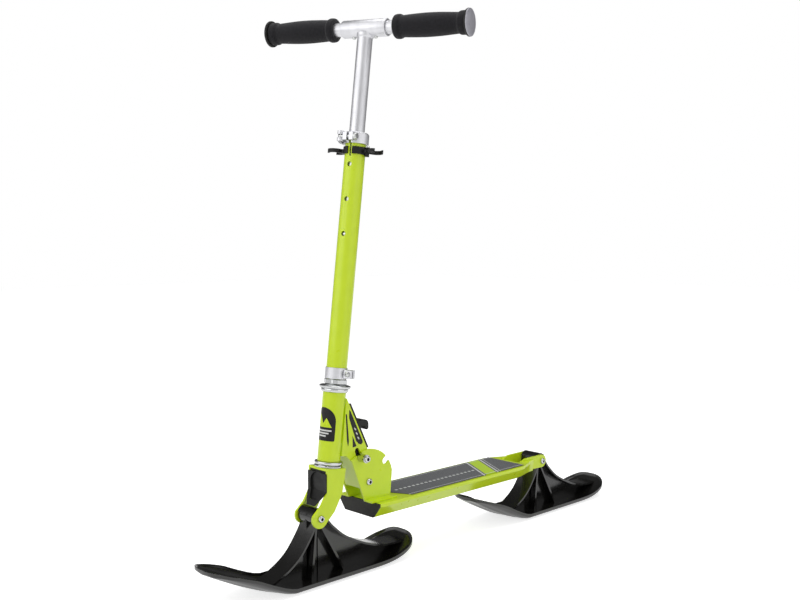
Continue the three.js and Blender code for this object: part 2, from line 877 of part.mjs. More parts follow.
// A point along and behind the steering axis, in the side view.
function onNeck(along, behind) {
  return [
    crownY + along * Math.sin(rake) + behind * Math.cos(rake),
    crownZ + along * Math.cos(rake) - behind * Math.sin(rake),
  ];
}

// Neck: a folded bracket, two sides and a front web, from the head tube down to the hinge bolt.
const neckTube = Math.sqrt(headTubeRadius ** 2 - (neckHalfWidth - neckSheet) ** 2) + seatGap;
const neckBackTop = onNeck(headTubeTop - neckBackDrop, neckBackReach);
const neckBackBottom = onHinge(hingeRadius + neckClearance, neckBackDegrees);
const backLength = Math.hypot(neckBackTop[0] - neckBackBottom[0], neckBackTop[1] - neckBackBottom[1]);
const backY = (neckBackBottom[0] - neckBackTop[0]) / backLength;
const backZ = (neckBackBottom[1] - neckBackTop[1]) / backLength;
const webTop = onNeck(cupShoulder + cupPlug, headTubeRadius + neckWebReach);
const webBend = onNeck(cupShoulder - neckBendDrop, headTubeRadius + neckBendReach);
const webBottom = onNeck(-hingeBelowCrown - neckFootDrop, hingeBehindCrown - neckFootReach);

function neckBracket() {
  const outline = [
    onNeck(cupShoulder + cupPlug, neckTube),
    webTop,
    webBend,
    webBottom,
    ...arc(hingeY, hingeZ, neckPivotRadius, neckEyeFrontDegrees, neckEyeRearDegrees, eyeSteps),
    neckBackBottom,
    neckBackTop,
    onNeck(headTubeTop - neckTopDrop, neckTube + neckTopReach),
    onNeck(headTubeTop - neckTopDrop, neckTube),
  ];
  const left = sidePlate(outline, neckHalfWidth - neckSheet, neckHalfWidth);
  const right = sidePlate(outline, -neckHalfWidth, -neckHalfWidth + neckSheet);
  const line = [webTop, webBend, webBottom];
  const inner = offsetInside(line.slice().reverse(), neckWebThickness).reverse();
  const web = sidePlate([...line, ...inner.slice().reverse()], -neckHalfWidth, neckHalfWidth);
  const reach = neckHalfWidth + overrun;
  const boltHole = aimX(rod(boltRadius + seatGap, -reach, reach, smallSides), 0, hingeY, hingeZ);
  const slotRadius = latchPinRadius + seatGap;
  const slotEnds = [rod(slotRadius, -reach, reach, smallSides)];
  slotEnds.push(slotEnds[0].clone());
  const slot = [
    aimX(slotEnds[0], 0, latchY, latchZ),
    aimX(slotEnds[1], 0, latchY - backY * latchTravel, latchZ - backZ * latchTravel),
    box(-reach, reach, -slotRadius, slotRadius, 0, latchTravel)
      .rotateX(Math.atan2(backY, -backZ))
      .translate(0, latchY, latchZ),
  ];
  return cut(join(left, right, web), boltHole, ...slot);
}
add(model, "neck_bracket", neckBracket(), limePaint);

// Release lever: a cover strip on the neck's back edges, with a finger hook and two arms to the pin.
function releaseLever() {
  const half = neckHalfWidth - neckSheet - runningGap;
  const alongBack = (share, out) => [
    THREE.MathUtils.lerp(neckBackTop[0], neckBackBottom[0], share) - backZ * out,
    THREE.MathUtils.lerp(neckBackTop[1], neckBackBottom[1], share) + backY * out,
  ];
  const strip = (inside, outside) => [
    alongBack(leverTopShare, inside),
    alongBack(leverEndShare, inside),
    alongBack(leverEndShare, outside),
    alongBack(leverTopShare, outside),
  ];
  const cover = sidePlate(strip(runningGap, leverProud), -neckHalfWidth, neckHalfWidth);
  const spine = sidePlate(strip(leverProud - leverThickness, leverProud), -half, half);
  const [rootY, rootZ] = alongBack(leverHookShare, runningGap);
  const hook = sidePlate(
    [
      [rootY, rootZ - leverHookDepth],
      [rootY + leverHookReach * leverHookUnderShare, rootZ - leverHookDepth],
      [rootY + leverHookReach * leverHookTipShare, rootZ - leverHookDrop],
      [rootY + leverHookReach, rootZ - leverHookDrop],
      [rootY + leverHookReach, rootZ - leverHookRound],
      [rootY + leverHookReach - leverHookRound, rootZ + leverHookRise],
      [rootY, rootZ + leverHookRise],
    ],
    -leverHookWidth / 2,
    leverHookWidth / 2,
  );
  const armWidth = latchPinRadius + latchPinRadius;
  const armReach = latchPinRadius + leverArmEdge;
  const armLine = [
    alongBack(leverArmShare, leverProud - leverThickness / 2),
    alongBack(leverEndShare, leverProud - leverThickness / 2),
    [latchY + armReach, latchZ - latchPinRadius],
    [latchY - armReach, latchZ - latchPinRadius],
    [latchY - armReach, latchZ + latchPinRadius],
    [latchY + latchPinRadius, latchZ + armWidth],
  ];
  armLine.reverse();
  const arms = [half - leverThickness, -half].map((x) => sidePlate(armLine, x, x + leverThickness));
  const past = half + overrun;
  const hole = aimX(rod(latchPinRadius + seatGap, -past, past, smallSides), 0, latchY, latchZ);
  return cut(join(cover, spine, hook, ...arms), hole);
}
add(model, "release_lever", releaseLever(), blackPlastic);
const pinReach = hingeInside - seatGap;
const latchPin = rod(latchPinRadius, -pinReach, pinReach, smallSides);
add(model, "latch_pin", aimX(latchPin, 0, latchY, latchZ), zincSteel);

// Head tube and headset, about the steering axis.
const headTube = ring(headTubeBore, headTubeRadius, cupShoulder + seatGap, headTubeTop, fineSides);
add(steering, "head_tube", headTube, limePaint);
const shaftBore = steererRadius + seatGap;
add(
  steering,
  "headset_race",
  turned(
    [
      [shaftBore, seatGap],
      [raceRadius, seatGap],
      [raceRadius, raceTop / 2],
      [raceRadius - raceEdge, raceTop - seatGap],
      [shaftBore, raceTop - seatGap],
    ],
    fineSides,
  ),
  chrome,
);
const plugOuter = headTubeBore - seatGap;
add(
  steering,
  "headset_lower_cup",
  turned(
    [
      [plugOuter - cupWall, cupBottom],
      [raceRadius - cupEdge, cupBottom],
      [raceRadius, cupBottom + cupEdge],
      [raceRadius, cupShoulder - cupEdge],
      [headTubeRadius + cupEdge, cupShoulder],
      [plugOuter, cupShoulder],
      [plugOuter, cupShoulder + cupPlug],
      [plugOuter - cupWall, cupShoulder + cupPlug],
    ],
    fineSides,
  ),
  chrome,
);
add(
  steering,
  "headset_upper_cup",
  turned(
    [
      [plugOuter - cupWall, headTubeTop - cupPlug],
      [plugOuter, headTubeTop - cupPlug],
      [plugOuter, headTubeTop + seatGap],
      [upperCupRadius, headTubeTop + seatGap],
      [upperCupRadius, upperCupTop - cupEdge],
      [upperCupRadius - cupEdge, upperCupTop],
      [plugOuter - cupWall, upperCupTop],
    ],
    fineSides,
  ),
  chrome,
);
add(
  steering,
  "headset_cover",
  turned(
    [
      [shaftBore, upperCupTop + seatGap],
      [coverRadius - coverEdge, upperCupTop + seatGap],
      [coverRadius, upperCupTop + seatGap + coverEdge],
      [coverRadius, coverTop - coverSlopeDrop],
      [locknutAcross / 2, coverTop],
      [shaftBore, coverTop],
    ],
    fineSides,
  ),
  chrome,
);
add(
  steering,
  "headset_locknut",
  cut(
    prism(locknutAcross, coverTop + seatGap, locknutTop),
    rod(shaftBore, coverTop - overrun, locknutTop + overrun, fineSides),
  ),
  chrome,
);

// Fork: folded crown and legs with the steerer tube.
function legOutline() {
  const eyeY = (frontPivotY - crownY) * Math.cos(rake) - (pivotHeight - crownZ) * Math.sin(rake);
  const eyeZ = (frontPivotY - crownY) * Math.sin(rake) + (pivotHeight - crownZ) * Math.cos(rake);
  return {
    eye: [eyeY, eyeZ],
    points: [
      [crownRear, 0],
      [-crownFront, 0],
      [-legWaistFront, -legWaistDrop],
      [-legKneeFront, -legKneeDrop],
      ...arc(eyeY, eyeZ, legEyeRadius, legEyeFrontDegrees, legEyeRearDegrees, coarseSteps),
      [legHeelRear, -legHeelDrop],
      [legBackRear, -legBackDrop],
    ],
  };
}

function fork() {
  const { eye, points } = legOutline();
  const outside = legInside + legThickness;
  const left = sidePlate(points, legInside, outside);
  const right = sidePlate(points, -outside, -legInside);
  const crown = box(-outside, outside, -crownFront, crownRear, -crownThickness, 0);
  const steerer = rod(steererRadius, -crownThickness / 2, steererTop, fineSides);
  const bore = rod(steererBore, -crownThickness - overrun, steererTop + overrun, roundSides);
  const reach = outside + overrun;
  const hole = aimX(rod(boltRadius + seatGap, -reach, reach, smallSides), 0, eye[0], eye[1]);
  return cut(join(left, right, crown, steerer), bore, hole);
}
add(steering, "fork", fork(), limePaint);

function forkInsert() {
  const half = legInside - seatGap;
  const top = -crownThickness - seatGap;
  const face = (inset) => [
    [-crownFront + insertSetback + inset, top],
    [-legWaistFront + insertSetback + inset, -legWaistDrop],
    [-legKneeFront + insertSetback + inset, -legKneeDrop - inset],
  ];
  const line = face(0);
  const back = face(insertDepth).map(([y], i) => [y, line[i][1]]).reverse();
  const body = sidePlate([...line, ...back], -half, half);
  const shield = [
    [-half, top],
    [-half, -insertShoulderDrop],
    [-insertTipHalf, -legKneeDrop],
    [insertTipHalf, -legKneeDrop],
    [half, -insertShoulderDrop],
    [half, top],
  ];
  const shaped = keep(body, frontPlate(shield, -legKneeFront - overrun, crownRear));
  const wall = face(insertSheet);
  const hollow = sidePlate(
    [
      [wall[0][0], top - insertSheet],
      wall[1],
      [wall[2][0], -legKneeDrop - overrun],
      [crownRear, -legKneeDrop - overrun],
      [crownRear, top - insertSheet],
    ],
    -half + insertSheet,
    half - insertSheet,
  );
  const sunk = face(insertRecess);
  const ahead = -legKneeFront - overrun;
  const beforeLine = [[ahead, top], [ahead, sunk[2][1]], ...sunk.reverse()];
  const before = sidePlate(beforeLine, -half, half);
  const archHalf = half - insertRim;
  const arch = frontPlate(
    [
      [-insertTipHalf, -legKneeDrop + insertRim],
      [insertTipHalf, -legKneeDrop + insertRim],
      [archHalf, -insertShoulderDrop],
      ...arc(0, top - insertRim - archHalf, archHalf, 0, 180, coarseSteps),
      [-archHalf, -insertShoulderDrop],
    ],
    -legKneeFront - overrun,
    crownRear,
  );
  return cut(shaped, hollow, keep(before, arch));
}
add(steering, "fork_insert", forkInsert(), blackPlastic);
{
  const front = new THREE.Group();
  front.position.set(0, frontPivotY, pivotHeight);
  model.add(front);
  addCrossBolt(front, "front", legInside + legThickness, 0, 0);
}

// Column: painted tube, slit and pierced at its front, on the steerer.
function lowerTube() {
  const bottom = clampBottom + seatGap;
  const body = turned(
    [
      [tubeBore, bottom],
      [spigotRadius, bottom],
      [spigotRadius, clampTop + seatGap],
      [tubeRadius, clampTop + seatGap],
      [tubeRadius, tubeTop],
      [tubeBore, tubeTop],
    ],
    fineSides,
  );
  const drill = () => rod(holeRadius, 0, tubeRadius + overrun, smallSides);
  const tools = holePlaces.map((place) => aimNegativeY(drill(), 0, 0, place));
  tools.push(box(-slitWidth / 2, slitWidth / 2, -tubeRadius - overrun, 0, slitBottom, tubeTop + overrun));
  tools.push(box(0, tubeRadius + overrun, -clampSlit / 2, clampSlit / 2, bottom - overrun, clampTop));
  return cut(body, ...tools);
}
add(column, "lower_tube", lowerTube(), limePaint);

function lowerClamp() {
  const body = join(
    ring(spigotRadius + seatGap, clampRadius, clampBottom, clampTop, fineSides),
    box(
      spigotRadius + clampEarRoot,
      clampEarReach,
      -clampSlit / 2 - clampEarThickness,
      clampSlit / 2 + clampEarThickness,
      clampBottom + clampEarEdge,
      clampTop - clampEarEdge,
    ),
  );
  const half = clampSlit / 2;
  const past = clampEarReach + overrun;
  const slit = box(spigotRadius, past, -half, half, clampBottom - overrun, clampTop + overrun);
  const boltX = (clampRadius + clampEarReach) / 2;
  const hole = rod(clampBoltRadius + seatGap, -clampRadius, clampRadius, smallSides);
  return cut(body, slit, aimY(hole, boltX, 0, (clampBottom + clampTop) / 2));
}
add(column, "lower_clamp", lowerClamp(), satinSilver);
{
  const seat = clampSlit / 2 + clampEarThickness + seatGap;
  const boltX = (clampRadius + clampEarReach) / 2;
  const middle = (clampBottom + clampTop) / 2;
  const geometry = bolt(clampBoltRadius, seat + seat, clampBoltHead, clampBoltHead);
  add(column, "lower_clamp_bolt", aimY(geometry, boltX, -seat, middle), zincSteel);
}

// Sleeve that guides the stem at the tube's top.
function heightSleeve() {
  const body = ring(sleeveBore, tubeBore - seatGap, sleeveBottom, tubeTop, fineSides);
  const past = tubeRadius + overrun;
  const slit = box(-slitWidth / 2, slitWidth / 2, -past, 0, sleeveBottom - overrun, tubeTop + overrun);
  return cut(body, slit);
}
add(column, "height_sleeve", heightSleeve(), blackPlastic);

const quickRadius = tubeRadius + seatGap + quickWall;
const skewerY = -(quickRadius + quickEarReach) / 2;
const skewerZ = (quickBottom + quickTop) / 2;
const earFace = quickSlit / 2 + quickEarThickness;
function heightClamp() {
  const earLow = quickBottom + quickEarEdge;
  const earHigh = quickTop - quickEarEdge;
  const body = join(
    turned(
      [
        [tubeRadius + seatGap, quickBottom],
        [quickRadius, quickBottom],
        [quickRadius, quickTop - quickEdge],
        [quickRadius - quickEdge, quickTop],
        [stemRadius + runningGap, quickTop],
        [stemRadius + runningGap, quickTop - quickLip],
        [tubeRadius + seatGap, tubeTop + seatGap],
      ],
      fineSides,
    ),
    box(-earFace, earFace, -quickEarReach, -tubeRadius - seatGap - quickWall / 2, earLow, earHigh),
  );
  const half = quickSlit / 2;
  const front = -quickEarReach - overrun;
  const slit = box(-half, half, front, -stemRadius, quickBottom - overrun, quickTop + overrun);
  const reach = earFace + overrun;
  const hole = aimX(rod(skewerRadius + seatGap, -reach, reach, smallSides), 0, skewerY, skewerZ);
  return cut(body, slit, hole);
}
add(column, "height_clamp", heightClamp(), satinSilver);

{
  const camCentre = -earFace - seatGap - camRadius;
  const end = earFace + quickNutHeight + seatGap;
  const shaft = aimX(rod(skewerRadius, camCentre - skewerRadius, end, smallSides), 0, 0, 0);
  const eye = rod(camPinRadius + seatGap, -skewerRadius - overrun, skewerRadius + overrun, smallSides);
  const skewer = cut(shaft, eye.translate(camCentre, 0, 0));
  add(column, "height_skewer", skewer.translate(0, skewerY, skewerZ), zincSteel);
  const knob = turned(
    [
      [skewerRadius + seatGap, earFace + seatGap],
      [quickNutRadius, earFace + seatGap],
      [quickNutRadius, earFace + quickNutHeight - quickNutEdge],
      [quickNutRadius - quickNutEdge, earFace + quickNutHeight],
      [skewerRadius + seatGap, earFace + quickNutHeight],
    ],
    roundSides,
  );
  add(column, "height_nut", aimX(knob, 0, skewerY, skewerZ), zincSteel);
}

// Cam lever: two cheeks on a pin through the skewer's left end, arm swept back beside the tube.
const camX = -earFace - seatGap - camRadius;
function clampLever() {
  const armInner = -quickRadius - 2 * runningGap - camX;
  const outline = [
    ...arc(0, 0, camRadius, camStartDegrees, camEndDegrees, coarseSteps),
    [camRadius * leverRootShare, leverBossReach],
    [armInner * leverNeckShare, leverNeckReach],
    [armInner, leverKneeReach],
    [armInner, leverArmLength],
    [armInner - leverArmThickness, leverArmLength + leverArmThickness / 2],
    [armInner - leverArmThickness, leverBendReach],
    [armInner * leverHeelShare, leverHeelReach],
  ];
  const body = planPlate(outline, -leverArmHeight / 2, leverArmHeight / 2);
  const slotHalf = skewerRadius + seatGap;
  const opening = arc(0, 0, camRadius + overrun, camSlotFrontDegrees, camSlotRearDegrees, smallSides);
  const sweep = planPlate([[0, 0], ...opening], -slotHalf, slotHalf);
  const turning = rod(skewerRadius * Math.SQRT2 + seatGap, -slotHalf, slotHalf, roundSides);
  const hole = rod(camPinRadius + seatGap, -leverArmHeight, leverArmHeight, smallSides);
  return cut(body, sweep, turning, hole).translate(camX, skewerY, skewerZ);
}
add(column, "height_lever", clampLever(), satinSilver);
const camPin = rod(camPinRadius, -leverArmHeight / 2, leverArmHeight / 2, smallSides);
add(column, "height_lever_pin", camPin.translate(camX, skewerY, skewerZ), zincSteel);

// Band with two open clips that hold the handles when they are pulled out.
const bandRadius = tubeRadius + seatGap + bandWall;
const bossX = bandRadius + clipBossReach;
function clipRing(x, turnDegrees) {
  const inner = clipBore;
  const outer = clipBore + clipWall;
  const half = clipMouthDegrees / 2;
  const middle = (bandBottom + bandTop) / 2;
  const outline = [
    ...arc(x, 0, outer, turnDegrees + half, turnDegrees + fullTurnDegrees - half, roundSides),
    ...arc(x, 0, inner, turnDegrees + fullTurnDegrees - half, turnDegrees + half, roundSides),
  ];
  return planPlate(outline, middle - clipHeight / 2, middle + clipHeight / 2);
}

function clipBracket() {
  const middle = (bandBottom + bandTop) / 2;
  const low = middle - clipHeight / 2;
  const high = middle + clipHeight / 2;
  const neckEnd = clipCentre - clipBore - clipWall / 4;
  const body = join(
    ring(tubeRadius + seatGap, bandRadius, bandBottom, bandTop, fineSides),
    clipRing(clipCentre, clipTurnDegrees),
    clipRing(-clipCentre, clipTurnDegrees + fullTurnDegrees / 2),
    box(bandRadius - bandWall / 2, neckEnd, -clipNeckHalf, clipNeckHalf, low, high),
    box(-neckEnd, -bandRadius + bandWall / 2, -clipNeckHalf, clipNeckHalf, low, high),
    rod(clipBossRadius, bandBottom - bandWall, bandTop, smallSides).translate(bossX, 0, 0),
  );
  const front = -bandRadius - overrun;
  const [under, over] = [bandBottom - overrun, bandTop + overrun];
  const mouth = box(-bandMouthHalf, bandMouthHalf, front, -tubeRadius / 2, under, over);
  const inside = rod(tubeRadius + seatGap, under, over, fineSides);
  const screw = rod(clipScrewRadius + seatGap, bandBottom, over, smallSides).translate(bossX, 0, 0);
  return cut(body, mouth, inside, screw);
}
add(column, "clip_bracket", clipBracket(), blackPlastic);
const clipScrew = turned(
  [
    [0, bandBottom + seatGap],
    [clipScrewRadius, bandBottom + seatGap],
    [clipScrewRadius, bandTop + seatGap],
    [clipScrewHead, bandTop + seatGap],
    [clipScrewHead, bandTop + clipScrewRise - clipScrewEdge],
    [clipScrewHead - clipScrewEdge, bandTop + clipScrewRise],
    [0, bandTop + clipScrewRise],
  ],
  smallSides,
);
add(column, "clip_screw", clipScrew.translate(bossX, 0, 0), zincSteel);

// Stem: bright tube with the cross tube for the handles on its top.
function heightStem() {
  const foot = turned(
    [
      [0, stemBottom],
      [tubeBore - seatGap, stemBottom],
      [tubeBore - seatGap, stemBottom + stemFootHeight],
      [0, stemBottom + stemFootHeight],
    ],
    fineSides,
  );
  const tube = rod(stemRadius, stemBottom + stemFootHeight / 2, teeHeight, fineSides);
  const tee = aimX(
    turned(
      [
        [0, -teeHalf],
        [teeRadius - teeLip, -teeHalf],
        [teeRadius, -teeHalf + teeLip],
        [teeRadius, teeHalf - teeLip],
        [teeRadius - teeLip, teeHalf],
        [0, teeHalf],
      ],
      fineSides,
    ),
    0,
    0,
    teeHeight,
  );
  const bore = rod(stemBore, stemBottom - overrun, teeHeight, roundSides);
  const reach = teeHalf + overrun;
  const teeBore = aimX(rod(handleRadius + seatGap, -reach, reach, roundSides), 0, 0, teeHeight);
  const buttonHole = rod(buttonRadius + seatGap, 0, stemRadius + overrun, smallSides);
  const tools = [bore, teeBore, aimNegativeY(buttonHole, 0, 0, lowestHole)];
  for (const side of [-1, 1]) {
    const hole = rod(handleButtonRadius + seatGap, teeHeight - teeRadius - overrun, teeHeight, smallSides);
    tools.push(hole.translate(side * handleButtonPlace, 0, 0));
  }
  return cut(join(foot, tube, tee), ...tools);
}
add(column, "height_stem", heightStem(), satinSilver);
{
  const tip = tubeBore - seatGap;
  const dome = turned(
    [
      [0, tip - buttonBody],
      [buttonRadius, tip - buttonBody],
      [buttonRadius, tip - buttonEdge],
      [buttonRadius - buttonEdge, tip],
      [0, tip],
    ],
    smallSides,
  );
  add(column, "height_button", aimNegativeY(dome, 0, 0, lowestHole), zincSteel);
}

// Handles: tube, foam grip and domed end on each side, with a push button under the cross tube.
function handleTube() {
  const body = ring(handleBore, handleRadius, handleStart, gripEnd, roundSides);
  const hole = rod(handleButtonRadius + seatGap, -handleRadius - overrun, 0, smallSides);
  return cut(aimX(body, 0, 0, 0), hole.translate(handleButtonPlace, 0, 0));
}

function grip() {
  const length = gripEnd - gripStart;
  const inner = handleRadius + seatGap;
  const span = length - seatGap;
  const outside = gripProfileShares.map(([along, share]) => [gripRadius * share, gripStart + along * span]);
  const profile = [[inner, gripStart], ...outside, [inner, gripEnd - seatGap]];
  return aimX(turned(profile, roundSides), 0, 0, 0);
}

function barCap() {
  const plug = handleBore - seatGap;
  const profile = [
    [0, gripEnd - capPlugLength],
    [plug, gripEnd - capPlugLength],
    [plug, gripEnd + seatGap],
    [capRadius - capEdge, gripEnd + seatGap],
    [capRadius, gripEnd + seatGap + capEdge],
    [capRadius, gripEnd + capFlange - capEdge],
    [capRadius - capEdge, gripEnd + capFlange],
    [capShoulderRadius, barEnd - capCrownDrop],
    [capCrownRadius, barEnd],
    [0, barEnd],
  ];
  return aimX(turned(profile, roundSides), 0, 0, 0);
}

for (const [side, turn] of [["left", 0], ["right", Math.PI]]) {
  const handle = new THREE.Group();
  handle.position.set(0, 0, teeHeight);
  handle.rotation.z = turn;
  column.add(handle);
  add(handle, "handle_tube_" + side, handleTube(), satinSilver);
  add(handle, "grip_" + side, grip(), foam);
  add(handle, "bar_end_" + side, barCap(), capGrey);
  const button = turned(
    [
      [0, -teeRadius - handleButtonProud],
      [handleButtonRadius - buttonEdge, -teeRadius - handleButtonProud],
      [handleButtonRadius, -teeRadius - handleButtonProud + buttonEdge],
      [handleButtonRadius, -handleRadius - seatGap],
      [0, -handleRadius - seatGap],
    ],
    smallSides,
  );
  add(handle, "handle_button_" + side, button.translate(handleButtonPlace, 0, 0), zincSteel);
}

export default model;
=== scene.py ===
import math

import bmesh
import bpy
from mathutils import Matrix, Vector


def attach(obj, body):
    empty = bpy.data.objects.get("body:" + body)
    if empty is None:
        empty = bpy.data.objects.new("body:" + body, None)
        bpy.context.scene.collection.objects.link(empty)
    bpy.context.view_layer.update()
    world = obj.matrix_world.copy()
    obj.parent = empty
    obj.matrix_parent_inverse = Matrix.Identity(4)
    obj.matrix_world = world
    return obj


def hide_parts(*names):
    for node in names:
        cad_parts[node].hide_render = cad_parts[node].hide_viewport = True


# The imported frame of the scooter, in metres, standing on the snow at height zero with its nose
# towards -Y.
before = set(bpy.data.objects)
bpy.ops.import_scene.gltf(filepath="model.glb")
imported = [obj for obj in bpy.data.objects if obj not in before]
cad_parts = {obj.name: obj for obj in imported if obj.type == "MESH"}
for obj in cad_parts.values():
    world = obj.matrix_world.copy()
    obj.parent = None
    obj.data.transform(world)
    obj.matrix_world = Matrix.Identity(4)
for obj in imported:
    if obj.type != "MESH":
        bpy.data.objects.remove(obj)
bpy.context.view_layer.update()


def shown(name, data):
    """A mesh, lamp or camera as an object of the scene."""
    made = bpy.data.objects.new(name, data)
    bpy.context.scene.collection.objects.link(made)
    return made


# Camera, at the photograph's viewing angle: low, in front of the rider's left side, with a
# normal lens and no shift.
eye = shown("photo_camera", bpy.data.cameras.new("photo_camera"))
EYE_PLACE, LOOKING_DOWN, LOOKING_ROUND = (1.19022, -1.23753, 0.54899), 3.74, 45.94
eye.location = EYE_PLACE
eye.rotation_euler = (math.radians(90 - LOOKING_DOWN), 0, math.radians(LOOKING_ROUND))
eye.data.sensor_width = 36
eye.data.lens = 43.11
bpy.context.scene.camera = eye

# ----------------------------------------------------------
# Deck board: one hollow aluminium extrusion with slanted sides, sawn to length, drawn in at the
# rear end and slotted for the rear arms, then powder coated in glossy lime.
MM = 0.001
WELD_DISTANCE, CORNER_DISTANCE, FLAT_ANGLE = 0.01, 0.6, 1.2


def surface(name, colour, roughness, metallic=0.0):
    made = bpy.data.materials.new(name)
    made.use_nodes = True
    shader = made.node_tree.nodes["Principled BSDF"]
    shader.inputs["Base Color"].default_value = (*colour, 1)
    shader.inputs["Roughness"].default_value = roughness
    shader.inputs["Metallic"].default_value = metallic
    return made


def shader_of(look):
    return look.node_tree.nodes["Principled BSDF"]


def graph(look):
    return look.node_tree.nodes, look.node_tree.links


def own_place(look):
    """Where a point lies on the piece itself, in metres."""
    return look.node_tree.nodes.new("ShaderNodeTexCoord").outputs["Object"]


def shine(look, specular):
    shader_of(look).inputs["Specular IOR Level"].default_value = specular


def grain(look, scale, detail, stretch=(1, 1, 1)):
    """A noise field over the piece, scale in cycles per metre, longer along a stretched axis."""
    nodes, links = graph(look)
    laid = nodes.new("ShaderNodeMapping")
    laid.inputs["Scale"].default_value = stretch
    noise = nodes.new("ShaderNodeTexNoise")
    noise.inputs["Scale"].default_value = scale
    noise.inputs["Detail"].default_value = detail
    links.new(own_place(look), laid.inputs["Vector"])
    links.new(laid.outputs["Vector"], noise.inputs["Vector"])
    return noise.outputs["Fac"]


TINT_START, TINT_END = 0.35, 0.65
FIELD_LOW, FIELD_HIGH = 0.3, 0.7


def tint(look, field, low, high):
    """Colours the piece between two near shades by a field."""
    nodes, links = graph(look)
    ramp = nodes.new("ShaderNodeValToRGB")
    ramp.color_ramp.elements[0].position = TINT_START
    ramp.color_ramp.elements[0].color = (*low, 1)
    ramp.color_ramp.elements[1].position = TINT_END
    ramp.color_ramp.elements[1].color = (*high, 1)
    links.new(field, ramp.inputs["Fac"])
    links.new(ramp.outputs["Color"], shader_of(look).inputs["Base Color"])
    return ramp.outputs["Color"]


def smudge(look, field, low, high):
    """Moves the roughness between two values by a field."""
    nodes, links = graph(look)
    spread = nodes.new("ShaderNodeMapRange")
    spread.inputs["From Min"].default_value = FIELD_LOW
    spread.inputs["From Max"].default_value = FIELD_HIGH
    spread.inputs["To Min"].default_value = low
    spread.inputs["To Max"].default_value = high
    links.new(field, spread.inputs["Value"])
    links.new(spread.outputs["Result"], shader_of(look).inputs["Roughness"])


def emboss(look, field, depth, strength):
    """Raises the surface by a field, on top of any earlier relief; depth in metres."""
    nodes, links = graph(look)
    bump = nodes.new("ShaderNodeBump")
    bump.inputs["Distance"].default_value = depth
    bump.inputs["Strength"].default_value = strength
    links.new(field, bump.inputs["Height"])
    socket = shader_of(look).inputs["Normal"]
    if socket.is_linked:
        links.new(socket.links[0].from_socket, bump.inputs["Normal"])
    links.new(bump.outputs["Normal"], socket)


LIME = (0.62, 0.8, 0.01)
LIME_DEEP = (0.595, 0.775, 0.008)
lime_paint = surface("lime_powder_coat", LIME, 0.3)
tint(lime_paint, grain(lime_paint, 45, 3), LIME_DEEP, LIME)
smudge(lime_paint, grain(lime_paint, 120, 4), 0.27, 0.36)
emboss(lime_paint, grain(lime_paint, 700, 2), 0.00005, 0.5)
shine(lime_paint, 0.3)
shader_of(lime_paint).inputs["Coat Weight"].default_value = 0.5
shader_of(lime_paint).inputs["Coat Roughness"].default_value = 0.08


def finish_piece(name, mesh, look, body, nodes, edge, sharp=35, rounds=2):
    """Smooth faces, rounded edges, a look, and the CAD nodes that the piece stands for."""
    mesh.materials.append(look)
    for polygon in mesh.polygons:
        polygon.use_smooth = True
    mesh.set_sharp_from_angle(angle=math.radians(sharp))
    made = shown(name, mesh)
    if edge:
        rounding = made.modifiers.new("rounded_edges", "BEVEL")
        rounding.width = edge * MM
        rounding.segments = rounds
        rounding.limit_method = "ANGLE"
        rounding.angle_limit = math.radians(sharp)
        rounding.harden_normals = True
    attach(made, body)
    if nodes:
        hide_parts(*nodes)
    return made


def refined(node, name, look, body, edge, sharp=35, rounds=2, corners=()):
    """A piece with the node's form, its flat faces made whole and its edges rounded.

    Each of the corners is (y, z, new y, new z) and takes along what lies on that corner.
    """
    work = bmesh.new()
    work.from_mesh(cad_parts[node].data)
    bmesh.ops.remove_doubles(work, verts=work.verts, dist=WELD_DISTANCE * MM)
    for y, z, new_y, new_z in corners:
        for vert in work.verts:
            if math.hypot(vert.co.y / MM - y, vert.co.z / MM - z) < CORNER_DISTANCE:
                vert.co.y, vert.co.z = new_y * MM, new_z * MM
    flat = math.radians(FLAT_ANGLE)
    bmesh.ops.dissolve_limit(work, angle_limit=flat, verts=work.verts, edges=work.edges)
    mesh = bpy.data.meshes.new(name)
    work.to_mesh(mesh)
    work.free()
    return finish_piece(name, mesh, look, body, [node], edge, sharp, rounds)


refined("deck_board", "deck_extrusion", lime_paint, "deck", 0.9, rounds=3)

# ----------------------------------------------------------
# Deck end cap: a dark grey injection moulded lid with a plug that is pushed into the hollow front
# end of the deck board. Its face has a fine spark-eroded texture.
cap_plastic = surface("end_cap_plastic", (0.021, 0.0205, 0.018), 0.5)
shine(cap_plastic, 0.25)
tint(cap_plastic, grain(cap_plastic, 60, 3), (0.018, 0.0175, 0.0155), (0.025, 0.0245, 0.0215))
smudge(cap_plastic, grain(cap_plastic, 300, 3), 0.42, 0.56)
emboss(cap_plastic, grain(cap_plastic, 2400, 2), 0.00008, 0.5)
refined("deck_end_cap", "front_end_cap", cap_plastic, "deck", 0.8)

# ----------------------------------------------------------
# Grip tape: a self-adhesive sheet of coarse grit on a grey backing, cut with slanted front
# corners and printed with plain lime and pale stripes, stuck on the deck's top.
tape_grit = surface("grip_tape_grit", (0.1, 0.103, 0.108), 0.92)


def maths(look, operation, *values):
    """One arithmetic step of a pattern; each value is a number or another step's output."""
    nodes, links = graph(look)
    step = nodes.new("ShaderNodeMath")
    step.operation = operation
    for socket, value in zip(step.inputs, values):
        if isinstance(value, (int, float)):
            socket.default_value = value
        else:
            links.new(value, socket)
    return step.outputs["Value"]


def position(look):
    """The piece's own X and Y, in metres."""
    nodes, links = graph(look)
    apart = nodes.new("ShaderNodeSeparateXYZ")
    links.new(own_place(look), apart.inputs["Vector"])
    return apart.outputs["X"], apart.outputs["Y"]


def within(look, value, low, high):
    """1 where a value lies between two limits, else 0."""
    above = maths(look, "GREATER_THAN", value, low)
    below = maths(look, "LESS_THAN", value, high)
    return maths(look, "MULTIPLY", above, below)


